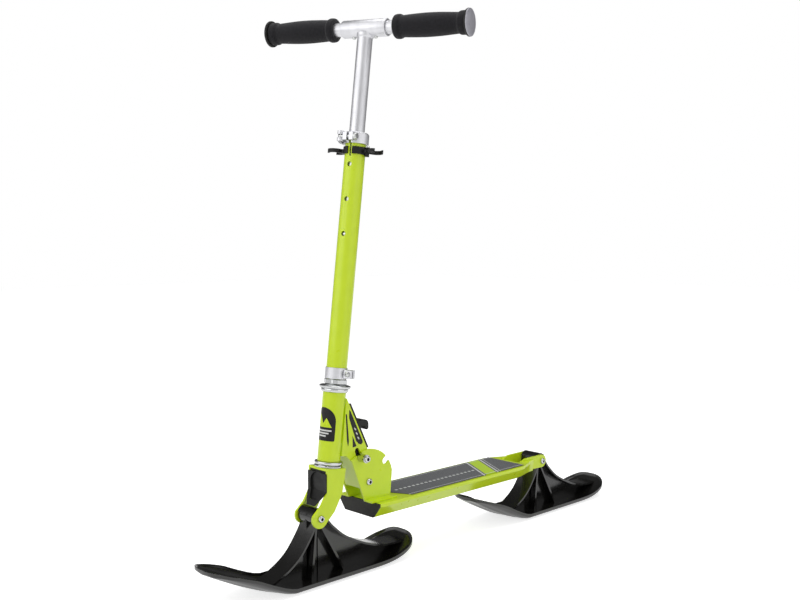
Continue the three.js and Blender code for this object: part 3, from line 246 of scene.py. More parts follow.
def printed(look, base, mask, colour):
    """Lays one flat ink over a base colour where the mask is 1."""
    nodes, links = graph(look)
    mix = nodes.new("ShaderNodeMix")
    mix.data_type = "RGBA"
    links.new(mask, mix.inputs["Factor"])
    links.new(base, mix.inputs["A"])
    mix.inputs["B"].default_value = (*colour, 1)
    return mix.outputs["Result"]


PALE_INK, LIME_INK = (0.56, 0.57, 0.55), (0.42, 0.6, 0.03)
STRIPE_SLOPE, LIME_STRIPE = 0.55, (0.118, 0.146)
PALE_STRIPES = ((0.111, 0.1145), (0.1495, 0.153), (0.158, 0.1595))
DASHES_PER_METRE, DASH_SHARE = 95, (0.2, 0.72)
DASH_ACROSS, DASH_ALONG, SIDE_LINE = (0.0035, 0.0085), (-0.105, 0.104), (0.0395, 0.0408)
grit_shade = tint(
    tape_grit, grain(tape_grit, 1600, 3), (0.075, 0.078, 0.083), (0.15, 0.154, 0.16)
)
tape_x, tape_y = position(tape_grit)
slope = maths(tape_grit, "MULTIPLY", tape_x, STRIPE_SLOPE)
slanted = maths(tape_grit, "ADD", tape_y, slope)
masks = [within(tape_grit, slanted, *stripe) for stripe in PALE_STRIPES]
cycle = maths(tape_grit, "FRACT", maths(tape_grit, "MULTIPLY", tape_y, DASHES_PER_METRE))
dashes = within(tape_grit, tape_x, *DASH_ACROSS)
for limit in (within(tape_grit, cycle, *DASH_SHARE), within(tape_grit, tape_y, *DASH_ALONG)):
    dashes = maths(tape_grit, "MULTIPLY", dashes, limit)
masks.append(dashes)
masks.append(within(tape_grit, maths(tape_grit, "ABSOLUTE", tape_x), *SIDE_LINE))
ink = printed(tape_grit, grit_shade, within(tape_grit, slanted, *LIME_STRIPE), LIME_INK)
for mask in masks:
    ink = printed(tape_grit, ink, mask, PALE_INK)
tape_grit.node_tree.links.new(ink, shader_of(tape_grit).inputs["Base Color"])
emboss(tape_grit, grain(tape_grit, 1500, 3), 0.0005, 0.8)
refined("grip_tape", "grit_sheet", tape_grit, "deck", 0.25)

# ----------------------------------------------------------
# Rear arms: two laser-cut aluminium plates, slid into the deck's slotted end and welded, with a
# round eye each for the rear ski's pivot bolt. Painted with the deck.
for side in ("left", "right"):
    plate = "rear_arm_plate_" + side
    refined("rear_arm_" + side, plate, lime_paint, "deck", 0.6)

# ----------------------------------------------------------
# Rear pivot bolt and nut: a domed socket-head bolt, bright chromium plated, with a zinc plated
# hexagon nut on the rider's right side.


def turned(profile, sides=96, closed=False):
    """A profile of (radius, height) in millimetres turned about Z. A third value makes that ring
    a hexagon, and the radius then is half its width across flats."""
    verts, faces, rows = [], [], []
    for point in profile:
        if point[0] == 0:
            rows.append([len(verts)])
            verts.append((0, 0, point[1]))
            continue
        row = []
        for i in range(sides):
            angle = 2 * math.pi * i / sides
            reach = point[0]
            if len(point) == 3:
                reach /= math.cos((angle + math.pi / 6) % (math.pi / 3) - math.pi / 6)
            row.append(len(verts))
            verts.append((reach * math.cos(angle), reach * math.sin(angle), point[1]))
        rows.append(row)
    pairs = list(zip(rows, rows[1:]))
    if closed:
        pairs.append((rows[-1], rows[0]))
    for low, high in pairs:
        for i in range(sides):
            j = (i + 1) % sides
            if len(low) == 1 and len(high) == 1:
                continue
            if len(low) == 1:
                faces.append((low[0], high[j], high[i]))
            elif len(high) == 1:
                faces.append((low[i], low[j], high[0]))
            else:
                faces.append((low[i], low[j], high[j], high[i]))
    return verts, faces


def hollow(profile, sides=128):
    """A turned form with a bore, from a profile that closes on itself."""
    return turned(profile, sides, True)


def formed(name, parts, place, look, body, nodes, edge, sharp=35, rounds=2):
    """A piece of closed forms given in millimetres in their own frame, put at a place."""
    work = bmesh.new()
    for verts, faces in parts:
        made = [work.verts.new(place @ (Vector(v) * MM)) for v in verts]
        for face in faces:
            work.faces.new([made[i] for i in face])
    bmesh.ops.recalc_face_normals(work, faces=work.faces)
    mesh = bpy.data.meshes.new(name)
    work.to_mesh(mesh)
    work.free()
    return finish_piece(name, mesh, look, body, nodes, edge, sharp, rounds)


QUARTER_TURN = math.pi / 2
TO_RIGHT = Matrix.Rotation(-QUARTER_TURN, 4, "Y")


def at(x, y, z):
    """A place given in millimetres."""
    return Matrix.Translation(Vector((x, y, z)) * MM)


chrome = surface("bright_chrome", (0.6, 0.61, 0.615), 0.08, 1.0)
smudge(chrome, grain(chrome, 200, 4), 0.05, 0.13)
emboss(chrome, grain(chrome, 400, 2), 0.00002, 0.3)
zinc = surface("zinc_plated_steel", (0.6, 0.61, 0.6), 0.3, 1.0)
tint(zinc, grain(zinc, 500, 3), (0.5, 0.51, 0.5), (0.68, 0.69, 0.68))
smudge(zinc, grain(zinc, 350, 4), 0.24, 0.4)


def socket_bolt(radius, length, head, height, socket, depth):
    """A bolt along Z: its domed head, with the socket, below zero and its shank above."""
    return turned([
        (0, -height + depth), (socket / 2, -height + depth, "hexagon"),
        (socket / 2, -height + 0.25, "hexagon"), (socket / 2 + 0.45, -height),
        (head * 0.62, -height), (head * 0.82, -height * 0.86), (head * 0.95, -height * 0.6),
        (head, -height * 0.32), (head, -0.25), (head - 0.25, 0), (radius, 0),
        (radius, length - 0.6), (radius - 0.6, length), (0, length),
    ])


# Painted shade: a near-black look laid into the socket recesses of the bolts and barrels, standing
# for the shade inside them.
painted_socket_shade = surface("painted_socket_shade", (0.02, 0.02, 0.019), 0.6, 0.3)
tint(painted_socket_shade, grain(painted_socket_shade, 900, 3), (0.014, 0.014, 0.013), (0.035, 0.034, 0.032))
smudge(painted_socket_shade, grain(painted_socket_shade, 700, 3), 0.5, 0.7)


def two_toned(made, place, look, chosen):
    """Another look for the faces whose corners, off the axis and along it, are all chosen."""
    made.data.materials.append(look)
    back = place.inverted()
    for face in made.data.polygons:
        corners = [(back @ made.data.vertices[i].co) / MM for i in face.vertices]
        if all(chosen(math.hypot(spot.x, spot.y), spot.z) for spot in corners):
            face.material_index = 1


SOCKET_CORNER = 0.59


def shade_socket_recess(bolt, place, socket):
    """The recess of a bolt's head, given a near-black look as painted shade."""
    two_toned(bolt, place, painted_socket_shade, lambda off, along: off < socket * SOCKET_CORNER)


def hex_nut(across, height, bore):
    half = across / 2
    return hollow([
        (bore, 0), (half - 0.5, 0), (half, 0.5, "hexagon"), (half, height - 0.6, "hexagon"),
        (half - 0.5, height), (bore + 0.4, height), (bore, height - 0.4),
    ], 96)


PIVOT_HEIGHT, REAR_PIVOT = 101, 287.9
BOLT_RADIUS, BOLT_PAST, HEAD_RADIUS, HEAD_HEIGHT = 4, 7.3, 5.9, 4.6
SOCKET, SOCKET_DEPTH = 5, 2.6
ARM_INSIDE, ARM_THICKNESS, SEAT_GAP = 19.8, 4.2, 0.3
NUT_ACROSS, NUT_HEIGHT, NUT_BORE = 13, 7, 4.3
pivot_nut = hex_nut(NUT_ACROSS, NUT_HEIGHT, NUT_BORE)


def cross_bolt(bolt, nut, seat, y, z, body, nodes):
    """A bolt across the scooter between two seats, its head on the left, and its nut."""
    length = 2 * seat + BOLT_PAST
    form = socket_bolt(BOLT_RADIUS, length, HEAD_RADIUS, HEAD_HEIGHT, SOCKET, SOCKET_DEPTH)
    place = at(seat, y, z) @ TO_RIGHT
    made = formed(bolt, [form], place, chrome, body, [nodes + "_bolt"], 0)
    shade_socket_recess(made, place, SOCKET)
    place = at(-seat, y, z) @ TO_RIGHT
    formed(nut, [pivot_nut], place, zinc, body, [nodes + "_nut"], 0.15)


arm_seat = ARM_INSIDE + ARM_THICKNESS + SEAT_GAP
cross_bolt("rear_pivot_bolt", "rear_pivot_nut", arm_seat, REAR_PIVOT, PIVOT_HEIGHT, "deck", "rear")

# ----------------------------------------------------------
# Hinge plates: two pressed steel plates with a foot each on the deck, a round edge about the fold
# bolt and a notch for each end of the fold. Painted with the deck.
for side in ("left", "right"):
    plate = "fold_plate_" + side
    refined("hinge_plate_" + side, plate, lime_paint, "deck", 0.5)

# Fold bolt and nut, as at the rear pivot, and two bright turned barrels with socket ends that sit
# in the plates' front notches.
HINGE_Y, HINGE_Z = -180.0, 142.3
PLATE_INSIDE, PLATE_THICKNESS = 19.3, 3
LATCH_REACH, LATCH_ANGLE = 47.7, math.radians(112.8)
plate_seat = PLATE_INSIDE + PLATE_THICKNESS + SEAT_GAP
cross_bolt("fold_bolt", "fold_nut", plate_seat, HINGE_Y, HINGE_Z, "deck", "hinge")
latch_y = HINGE_Y + LATCH_REACH * math.cos(LATCH_ANGLE)
latch_z = HINGE_Z + LATCH_REACH * math.sin(LATCH_ANGLE)
barrel = turned([
    (0, 19.3), (5.5, 19.3), (5.5, 22.6), (6.7, 22.6), (7, 22.9), (7, 38.2), (6.7, 38.5),
    (5.6, 38.5), (5.6, 40.9), (5.1, 41.8), (4.2, 42.3), (3.1, 42.3), (2.6, 42.0, "hexagon"),
    (2.6, 39.3, "hexagon"), (0, 39.3),
])
BARREL_SOCKET = 5.2
TO_LEFT = Matrix.Rotation(QUARTER_TURN, 4, "Y")
notch = at(0, latch_y, latch_z)
for side, place in (("left", notch @ TO_LEFT), ("right", notch @ TO_RIGHT)):
    node = "latch_barrel_" + side
    stud = formed("latch_stud_" + side, [barrel], place, chrome, "deck", [node], 0)
    shade_socket_recess(stud, place, BARREL_SOCKET)

# ----------------------------------------------------------
# Skis: one black injection moulding each, with a turned-up spoon nose, grooves under it, a raised
# rim, and a saddle of straps, web and ribs that rises to the pivot. Glossy as moulded.
NOSE, TAIL, HALF_WIDTH, LEAST_SHARE = 206.2, 203.1, 49.4, 0.12
SKIN, RIM_RISE, RIM_BREADTH = 3.2, 4.2, 3.6
RIM_FALL, RIM_ROUND, SOLE_FALL, SOLE_ROUND = 1.3, 1.6, 1.1, 1.4
NOSE_RISE, NOSE_START, NOSE_ROUND, NOSE_POWER, NOSE_CURL = 56, 68, 132, 3.4, 1.42
TAIL_RISE, TAIL_START, TAIL_ROUND, TAIL_POWER, TAIL_CURL = 31.4, 92, 56, 2.9, 3.2
EDGE_LIFT, SPOON_LIFT, FLAT_HALF = 5, 10, 34
GROOVE, GROOVE_SPAN, GROOVE_WAVES = 2.2, 0.72, 1.5
SADDLE_HALF, STRAP, WEB, CREST = 19, 3.4, 4, 15
FRONT_REACH, REAR_REACH, STRAP_FLOOR = 112, 190, 0.75
BOSS_BORE, BOSS_RADIUS = 7.6, 12
RIB_HALF, RIB_TOP, RIB_INSET, RIB_FEET = 2, 9, 4, (-10, 57)
SHORT_STEP = 0.4

ski_plastic = surface("ski_moulding", (0.0062, 0.006, 0.0055), 0.3)
shine(ski_plastic, 0.75)
tint(ski_plastic, grain(ski_plastic, 25, 3), (0.005, 0.0048, 0.0044), (0.0085, 0.0082, 0.0075))
smudge(ski_plastic, grain(ski_plastic, 80, 4, (1, 0.35, 1)), 0.13, 0.2)
emboss(ski_plastic, grain(ski_plastic, 1300, 2), 0.00002, 0.3)


def clamp(value):
    return min(max(value, 0), 1)


def rounded(share, power):
    """The width left where an outline rounds off, from 1 down to 0."""
    return (1 - share ** power) ** (1 / power)


def ski_half(y):
    """Half the ski's width at one place along it."""
    nose = clamp((-NOSE + NOSE_ROUND - y) / NOSE_ROUND)
    tail = clamp((y - (TAIL - TAIL_ROUND)) / TAIL_ROUND)
    half = HALF_WIDTH * rounded(nose, NOSE_POWER) * rounded(tail, TAIL_POWER)
    return max(half, HALF_WIDTH * LEAST_SHARE)


def nose_share(y):
    return max((-NOSE_START - y) / (NOSE - NOSE_START), 0)


def ski_under(y, across):
    """The sole's height at one place along the ski and a share of its half width."""
    nose = nose_share(y)
    tail = max((y - TAIL_START) / (TAIL - TAIL_START), 0)
    flat = FLAT_HALF / HALF_WIDTH
    edge = max(abs(across) - flat, 0) / (1 - flat)
    spoon = SPOON_LIFT * min(nose * 2, 1) * across * across
    curl = NOSE_RISE * nose ** NOSE_CURL + TAIL_RISE * tail ** TAIL_CURL
    return curl + EDGE_LIFT * edge * edge + spoon


def layered(under, over, ring=False):
    """A closed form between two grids of points in rows; a ring's rows close on themselves."""
    verts = [point for grid in (under, over) for row in grid for point in row]
    faces, wide = [], len(under[0])
    top = len(under) * wide
    spans = [(c, (c + 1) % wide) for c in range(wide if ring else wide - 1)]
    for row in range(0, top - wide, wide):
        for c, d in spans:
            a, b = row + c, row + d
            faces.append((a, b, b + wide, a + wide))
            faces.append((top + a, top + a + wide, top + b + wide, top + b))
        if not ring:
            for a in (row, row + wide - 1):
                faces.append((a, a + wide, top + a + wide, top + a))
    for row in (0, top - wide):
        faces += [(row + c, top + row + c, top + row + d, row + d) for c, d in spans]
    return verts, faces


def ski_shell():
    """The ski's base, with its grooves, rounded edges and rim."""
    shares = [1, 0.997, 0.988, 0.975, 0.96, 0.945, 0.93, 0.915, 0.9, 0.88, 0.85]
    shares += [0.8 - 0.05 * i for i in range(17)]
    columns = [-s for s in shares] + [s for s in reversed(shares[:-1])]
    ends = [0, 0.3, 0.8, 1.5, 2.3, 3.2, 4.2, 5.5, 7.5, 10, 13, 17, 22, 28, 35]
    ends += [43, 52, 62, 73, 85, 98]
    rows = [-NOSE + v for v in ends] + [-90 + 12 * i for i in range(16)]
    rows += [TAIL - v for v in reversed(ends)]
    under, over = [], []
    for y in sorted(set(round(v, 3) for v in rows)):
        half = ski_half(y)
        run = (ski_half(y + SHORT_STEP) - ski_half(y - SHORT_STEP)) / (2 * SHORT_STEP)
        nose = nose_share(y)
        low, high = [], []
        for share in columns:
            across = share * half / HALF_WIDTH
            base = ski_under(y, across) - PIVOT_HEIGHT
            inset = (half - abs(share) * half) / math.sqrt(1 + run * run)
            inset = min(inset, y + NOSE, TAIL - y)
            rise = clamp(1 - inset / RIM_BREADTH)
            rise = RIM_RISE * rise * rise * (3 - 2 * rise)
            rise -= RIM_FALL * clamp(1 - inset / RIM_ROUND) ** 2
            waves = GROOVE_WAVES * clamp(abs(across) / GROOVE_SPAN)
            ridge = 0.5 - 0.5 * math.cos(2 * math.pi * waves)
            groove = GROOVE * ridge * min(nose * 3, 1) * (half / HALF_WIDTH)
            corner = SOLE_FALL * clamp(1 - inset / SOLE_ROUND) ** 2
            low.append((share * half, y, base + groove + corner))
            high.append((share * half, y, base + SKIN + rise))
        under.append(low)
        over.append(high)
    return layered(under, over)


def smooth_line(points, steps=6):
    """A curve through the points of an outline."""
    line = []
    for i in range(len(points) - 1):
        before = points[max(i - 1, 0)]
        after = points[min(i + 2, len(points) - 1)]
        a, b = points[i], points[i + 1]
        for k in range(steps):
            t = k / steps
            line.append(tuple(
                0.5 * (2 * a[j] + (b[j] - before[j]) * t
                       + (2 * before[j] - 5 * a[j] + 4 * b[j] - after[j]) * t * t
                       + (3 * a[j] - before[j] - 3 * b[j] + after[j]) * t ** 3)
                for j in range(2)
            ))
    line.append(points[-1])
    return line


def inside_of(line, depth):
    """The same line, moved towards its underside."""
    made = []
    for i, point in enumerate(line):
        a, b = line[max(i - 1, 0)], line[min(i + 1, len(line) - 1)]
        length = math.hypot(b[0] - a[0], b[1] - a[1])
        step = depth / length
        made.append((point[0] + (b[1] - a[1]) * step, point[1] - (b[0] - a[0]) * step))
    return made


def slab(outer, inner, left, right):
    """A band between two side-view lines of equal count, filled across the ski."""
    lines = [[[(x, y, z) for x in (left, right)] for y, z in line] for line in (outer, inner)]
    return layered(*lines)


FRONT_STRAP = [
    (0.036, 0.967), (0.107, 0.807), (0.223, 0.62), (0.339, 0.466),
    (0.482, 0.341), (0.652, 0.239), (0.821, 0.161), (1, 0.103),
]
REAR_STRAP = [
    (0.121, 0.907), (0.2, 0.758), (0.305, 0.603), (0.463, 0.45),
    (0.621, 0.334), (0.768, 0.265), (0.926, 0.247), (1, 0.247),
]


def on_shell(y, height):
    """A strap's point, which runs out flush in the shell's top."""
    return y, max(height * PIVOT_HEIGHT, ski_under(y, 0) + SKIN) - PIVOT_HEIGHT


front_line = smooth_line([on_shell(-a * FRONT_REACH, h) for a, h in reversed(FRONT_STRAP)])
crest_angles = [math.radians(a) for a in range(150, 39, -10)]
crest = [(CREST * math.cos(a), CREST * math.sin(a)) for a in crest_angles]
rear_line = smooth_line(crest + [on_shell(a * REAR_REACH, h) for a, h in REAR_STRAP])


def moved(part, place):
    verts, faces = part
    return [tuple(place @ Vector(v)) for v in verts], faces


def saddle():
    """The two straps, the web under them, the pivot's boss and the ribs to the ski's base."""
    parts = []
    for line in (front_line, rear_line):
        under = [
            (y, max(z, ski_under(y, 0) + SKIN * STRAP_FLOOR - PIVOT_HEIGHT))
            for y, z in inside_of(line, STRAP)
        ]
        parts.append(slab(line, under, -SADDLE_HALF, SADDLE_HALF))
        middle = inside_of(line, STRAP / 2)
        floor = [(y, min(ski_under(y, 0) + SKIN / 2 - PIVOT_HEIGHT, z)) for y, z in middle]
        parts.append(slab(middle, floor, -WEB / 2, WEB / 2))
    ends = [
        (BOSS_BORE, -SADDLE_HALF), (BOSS_RADIUS, -SADDLE_HALF), (BOSS_RADIUS, SADDLE_HALF),
        (BOSS_BORE, SADDLE_HALF),
    ]
    parts.append(moved(hollow(ends, 96), TO_LEFT))
    for foot in RIB_FEET:
        length = math.hypot(foot, PIVOT_HEIGHT - SKIN)
        top, foot_line = [[(side * RIB_HALF, z) for side in (-1, 1)] for z in (-RIB_TOP, -length)]
        rib = slab(top, foot_line, -SADDLE_HALF + RIB_INSET, SADDLE_HALF - RIB_INSET)
        lean = math.atan2(foot, PIVOT_HEIGHT - SKIN)
        parts.append(moved(rib, Matrix.Rotation(lean, 4, "X")))
    return parts


FRONT_PIVOT = -284.8
bush = hollow([(4.3, -19.3), (7.3, -19.3), (7.3, 19.3), (4.3, 19.3)], 96)
shell, ribs = ski_shell(), saddle()
for ski, y in (("rear_ski", REAR_PIVOT), ("front_ski", FRONT_PIVOT)):
    pivot = at(0, y, PIVOT_HEIGHT)
    formed(ski + "_moulding", [shell, *ribs], pivot, ski_plastic, ski, [ski], 0.7)
    across = pivot @ TO_LEFT
    formed(ski + "_sleeve", [bush], across, zinc, ski, [ski + "_bush"], 0.2)

# ----------------------------------------------------------
# Head tube and neck: a steel tube, raked back, with a folded steel bracket welded to its back that
# reaches down to the fold bolt. Painted lime.
CROWN = Vector((0, -248.9, 176.1)) * MM
RAKE = math.radians(6.77)
steering = Matrix.Translation(CROWN) @ Matrix.Rotation(-RAKE, 4, "X")
head_tube = hollow([(17, 10.1), (19, 10.1), (19, 121.8), (17, 121.8)])
formed(
    "head_tube_shell", [head_tube], steering, lime_paint, "neck", ["head_tube"], 0.3
)
NECK_BACK = [
    (-208.2, 281.8, -220.9, 280.6), (-219.9, 294.3, -223.9, 286.6), (-223.9, 294.8, -224.8, 287.3),
    (-178.4, 198.6, -180.2, 198.6),
]
refined("neck_bracket", "neck_fold", lime_paint, "neck", 0.5, corners=NECK_BACK)

# ----------------------------------------------------------
# Stickers: printed vinyl films on the head tube's front and on both sides of the neck, black with
# plain lime and pale shapes, trimmed to their outline and pressed on after painting.


def vinyl(name, dark, light):
    """The look of one ink on film, between two shades."""
    look = surface(name, light, 0.36)
    tint(look, grain(look, 180, 3), dark, light)
    smudge(look, grain(look, 420, 3), 0.3, 0.42)
    emboss(look, grain(look, 1500, 2), 0.00002, 0.4)
    return look


black_film = vinyl("black_film", (0.006, 0.006, 0.006), (0.0105, 0.0105, 0.01))
lime_film = vinyl("lime_film", (0.56, 0.74, 0.012), (0.62, 0.8, 0.02))
pale_film = vinyl("pale_film", (0.68, 0.69, 0.67), (0.76, 0.77, 0.75))
for film in (black_film, lime_film, pale_film):
    shine(film, 0.3)


def wrapped(rows, inner, outer, columns=20):
    """A thin film round the head tube: rows of (height, left, right), measured along the arc."""
    layers = []
    for reach in (inner, outer):
        grid = []
        for height, left, right in rows:
            along = [left + (right - left) * k / columns for k in range(columns + 1)]
            angles = [length / outer for length in along]
            grid.append([(reach * math.sin(a), -reach * math.cos(a), height) for a in angles])
        layers.append(grid)
    return layered(*layers)


def cutout(outline, left, right):
    """A plate cut to an outline of (y, z), between two places across."""
    n = len(outline)
    verts = [(left, y, z) for y, z in outline] + [(right, y, z) for y, z in outline]
    faces = [tuple(range(n)), tuple(range(2 * n - 1, n - 1, -1))]
    faces += [(i, (i + 1) % n, n + (i + 1) % n, n + i) for i in range(n)]
    return verts, faces


def sticker(name, layers, place):
    """One film of several inks, on the neck."""
    parts, first = [part for part, look in layers], layers[0][1]
    made = formed(name, parts, place, first, "neck", [], 0)
    inks, start = [first], 0
    for part, look in layers:
        if look not in inks:
            inks.append(look)
            made.data.materials.append(look)
        for face in made.data.polygons[start:start + len(part[1])]:
            face.material_index = inks.index(look)
        start += len(part[1])


FILM, BACKING, INK_FROM, INK_TO = 19.05, 0.12, 0.14, 0.2
SHOULDER, FOOT, ARCH, ROUNDING = 74, 43, 23, 2
patch = [(FOOT, -ARCH + ROUNDING, ARCH - ROUNDING), (FOOT + 0.6, -ARCH + 0.8, ARCH - 0.8)]
patch.append((FOOT + ROUNDING, -ARCH, ARCH))
straight = (SHOULDER - FOOT - ROUNDING) / 4
patch += [(FOOT + ROUNDING + v * straight, -ARCH, ARCH) for v in (1, 2, 3)]
for step in range(0, 89, 4):
    half = ARCH * math.cos(math.radians(step))
    patch.append((SHOULDER + ARCH * math.sin(math.radians(step)), -half, half))
layers = [(wrapped(patch, FILM, FILM + BACKING), black_film)]
TIP, BAR_HEIGHT = 0.2, 2.4
PEAKS = [(65, -17, 4, -7, 86), (65, -3, 17, 7, 80)]
BARS = [(58.6, 17), (54.2, 12.5), (49.8, 8)]
for base, left, right, peak, top in PEAKS:
    flank = [
        (base + (top - base) * v / 8, left + (peak - TIP - left) * v / 8,
         right + (peak + TIP - right) * v / 8)
        for v in range(9)
    ]
    layers.append((wrapped(flank, FILM + INK_FROM, FILM + INK_TO), lime_film))
for low, half in BARS:
    bar = [(low, -half, half), (low + BAR_HEIGHT, -half, half)]
    layers.append((wrapped(bar, FILM + INK_FROM, FILM + INK_TO), pale_film))
sticker("head_tube_label", layers, steering)
BLADE = [
    (-219.4, 268), (-216.6, 265.6), (-190.1, 212.4), (-190.4, 208.8), (-193.6, 206.8),
    (-199, 208.6), (-204.8, 214.4), (-219.6, 254),
]
STRIPE = [(-227, 262), (-224.2, 261), (-220.3, 216), (-222, 207), (-224.4, 216)]
WEDGE = [(-212.5, 224), (-203.6, 205.5), (-212, 204.5)]
SLASH = [(-194.5, -1), (-190.8, -4.5), (-190.4, -2), (-194.1, 1.5)]
SLASH_HEIGHTS, SLASH_SHIFT, SLASH_FOOT, SLASH_SLOPE = (220, 228, 236), 3.2, 211, 0.44
AS_DRAWN = Matrix.Identity(4)
FILM_SEAT, FILM_TOP, INK_SEAT, INK_TOP = 18.83, 18.93, 18.95, 18.98
for side, sign in (("left", 1), ("right", -1)):
    shapes = (BLADE, STRIPE, WEDGE)
    seat, top = sign * FILM_SEAT, sign * FILM_TOP
    layers = [(cutout(shape, seat, top), black_film) for shape in shapes]
    for z in SLASH_HEIGHTS:
        shift = SLASH_SHIFT + (z - SLASH_FOOT) * SLASH_SLOPE
        slash = [(y - shift, z + up) for y, up in SLASH]
        layers.append((cutout(slash, sign * INK_SEAT, sign * INK_TOP), pale_film))
    sticker("neck_label_" + side, layers, AS_DRAWN)

# ----------------------------------------------------------
# Headset cups: chromium plated steel pressings with a turned flange, pushed into both ends of the
# head tube to carry the steerer.
lower_cup = hollow([
    (15.1, 4.6), (22.4, 4.6), (23.1, 4.9), (23.5, 5.6), (23.5, 8.4), (23.1, 9.1), (21.2, 9.6),
    (20, 9.8), (16.7, 9.8), (16.7, 18.8), (15.7, 18.8), (15.7, 9.8),
])
formed(
    "lower_head_cup", [lower_cup], steering, chrome, "neck", ["headset_lower_cup"], 0.12
)
upper_cup = hollow([
    (15.7, 112.8), (16.7, 112.8), (16.7, 122.1), (20.6, 122.1), (21.9, 122.6), (22.5, 123.6),
    (22.5, 127.2), (22.1, 128.1), (21.2, 128.4), (15.7, 128.4),
])
formed(
    "upper_head_cup", [upper_cup], steering, chrome, "neck", ["headset_upper_cup"], 0.12
)

# ----------------------------------------------------------
# Release lever: a black moulded strip along the open back of the neck with a finger hook, and the
# steel latch pin that it carries across the hinge plates' notches.
black_plastic = surface("black_moulding", (0.0085, 0.0085, 0.008), 0.42)
shine(black_plastic, 0.28)
tint(black_plastic, grain(black_plastic, 90, 3), (0.007, 0.007, 0.0065), (0.012, 0.012, 0.011))
smudge(black_plastic, grain(black_plastic, 250, 3), 0.34, 0.5)
emboss(black_plastic, grain(black_plastic, 2000, 2), 0.00006, 0.4)
STRIP_TOP, STRIP_FALL = Vector((-220.6, 280.7)), Vector((40.7, -82.0))
STRIP_DOWN = STRIP_FALL.normalized()
STRIP_OUT = Vector((-STRIP_DOWN.y, STRIP_DOWN.x))
STRIP_LENGTH, STRIP_HALF, STRIP_THICK = 91.5, 18.8, 3.7
TUBE_CLEAR, TOP_BEHIND, TOP_GAIN, PRONG_START = 19.5, 9.7, 0.547, 4.6


def strip_start(x):
    """The strip's top end, cut out to pass the head tube when the lever is pushed up."""
    return max(PRONG_START, (math.sqrt(TUBE_CLEAR**2 - x * x) - TOP_BEHIND) / TOP_GAIN)


def cover_strip(steps=32):
    """The strip as a plate that follows the neck's back edge, in steps across its width."""
    layers = []
    for out in (0, STRIP_THICK):
        grid = []
        for k in range(steps + 1):
            x = STRIP_HALF * (2 * k / steps - 1)
            reaches = (strip_start(x), STRIP_LENGTH)
            spots = [STRIP_TOP + STRIP_DOWN * down + STRIP_OUT * out for down in reaches]
            grid.append([(x, spot.x, spot.y) for spot in spots])
        layers.append(grid)
    return layered(*layers)


HOOK = [
    (-201.3, 245.2), (-177, 245.2), (-173, 244), (-170.3, 241.2), (-169.4, 237.5), (-169.4, 230.4),
    (-170.6, 228.4), (-172.9, 227.6), (-175.4, 228.3), (-176.8, 230.4), (-177.2, 233.4),
    (-178.6, 235), (-181, 235.6), (-196.9, 235.6),
]
ARM = [
    (-190.3, 223.1), (-179.6, 201.6), (-194, 195.3), (-193.4, 186.3), (-194.1, 183.6),
    (-196, 181.8), (-198.5, 181.2), (-201, 181.8), (-202.9, 183.6), (-203.6, 186.3),
    (-202.6, 190), (-199.5, 200),
]
HOOK_HALF, ARM_NEAR, ARM_FAR = 11, 10.6, 15.3
lever = [cover_strip(), cutout(HOOK, -HOOK_HALF, HOOK_HALF)]
lever += [cutout(ARM, ARM_NEAR, ARM_FAR), cutout(ARM, -ARM_FAR, -ARM_NEAR)]
formed(
    "release_strip", lever, AS_DRAWN, black_plastic, "latch", ["release_lever"],
    0.9, rounds=3,
)
latch_pin = turned([(0, -19), (4.1, -19), (4.5, -18.6), (4.5, 18.6), (4.1, 19), (0, 19)])
pin_place = notch @ TO_LEFT
formed("latch_cross_pin", [latch_pin], pin_place, zinc, "latch", ["latch_pin"], 0)

# ----------------------------------------------------------
# Fork: a steel crown folded into two flat legs with the steerer tube welded in, painted lime, and
# the black moulded shield that closes it at the front.
FORK_BACK = [
    (-233.5, 174.3, -231.2, 174.0), (-234.2, 170.3, -231.9, 170.0), (-241.0, 133.6, -239.1, 133.4),
]
refined(
    "fork", "fork_crown_and_legs", lime_paint, "fork", 0.9,
    rounds=3, corners=FORK_BACK,
)
refined("fork_insert", "fork_shield", black_plastic, "fork", 0.7)
SHIELD_OUTLINE = [(23.2, 170.6), (23.2, 141.4), (20, 134), (10.5, 120), (9, 118.8)]
SHIELD_OPENING = [
    (0, 171.2), (5.2, 170.3), (9.9, 167.9), (13.7, 164.2), (16.1, 159.4), (16.9, 154.2),
    (16.9, 143.9), (15.4, 140.9), (8.4, 127.5),
]
SHIELD_MIDDLE, SHIELD_SKIN, LEAST_RIM = 148, 1.5, 0.4
LEG_FRONT, LEG_BEND, BEND_SLOPE = -271, 141, 0.626


def outline_reach(outline, angle):
    """How far the outline lies from the shield's middle in one direction."""
    across, up = math.cos(angle), math.sin(angle)
    half = [(abs(x), z - SHIELD_MIDDLE) for x, z in outline]
    half = [(0, half[0][1])] + half + [(0, half[-1][1])]
    far = 0
    for (x1, z1), (x2, z2) in zip(half, half[1:]):
        turning = abs(across) * (z2 - z1) - up * (x2 - x1)
        if abs(turning) > 1e-9:
            length = (x1 * (z2 - z1) - z1 * (x2 - x1)) / turning
            share = (abs(across) * z1 - up * x1) / -turning
            if length > 0 and -1e-6 <= share <= 1 + 1e-6:
                far = max(far, length)
    return far


def shield_front(gap, rays=96, rings=4):
    """The shield's rim that lies over the front edges of both legs, following their bend."""
    layers = []
    for lift in (gap, gap + SHIELD_SKIN):
        grid = []
        for ring in range(rings + 1):
            row = []
            for angle in [2 * math.pi * k / rays for k in range(rays)]:
                inner = outline_reach(SHIELD_OPENING, angle)
                outer = max(outline_reach(SHIELD_OUTLINE, angle), inner + LEAST_RIM)
                far = inner + (outer - inner) * ring / rings
                z = SHIELD_MIDDLE + far * math.sin(angle)
                front = LEG_FRONT - lift - max(0, LEG_BEND - z) * BEND_SLOPE
                row.append((far * math.cos(angle), front, z))
            grid.append(row)
        layers.append(grid)
    return layered(*layers, ring=True)


rim = shield_front(SEAT_GAP)
formed("fork_shield_rim", [rim], AS_DRAWN, black_plastic, "fork", [], 0)

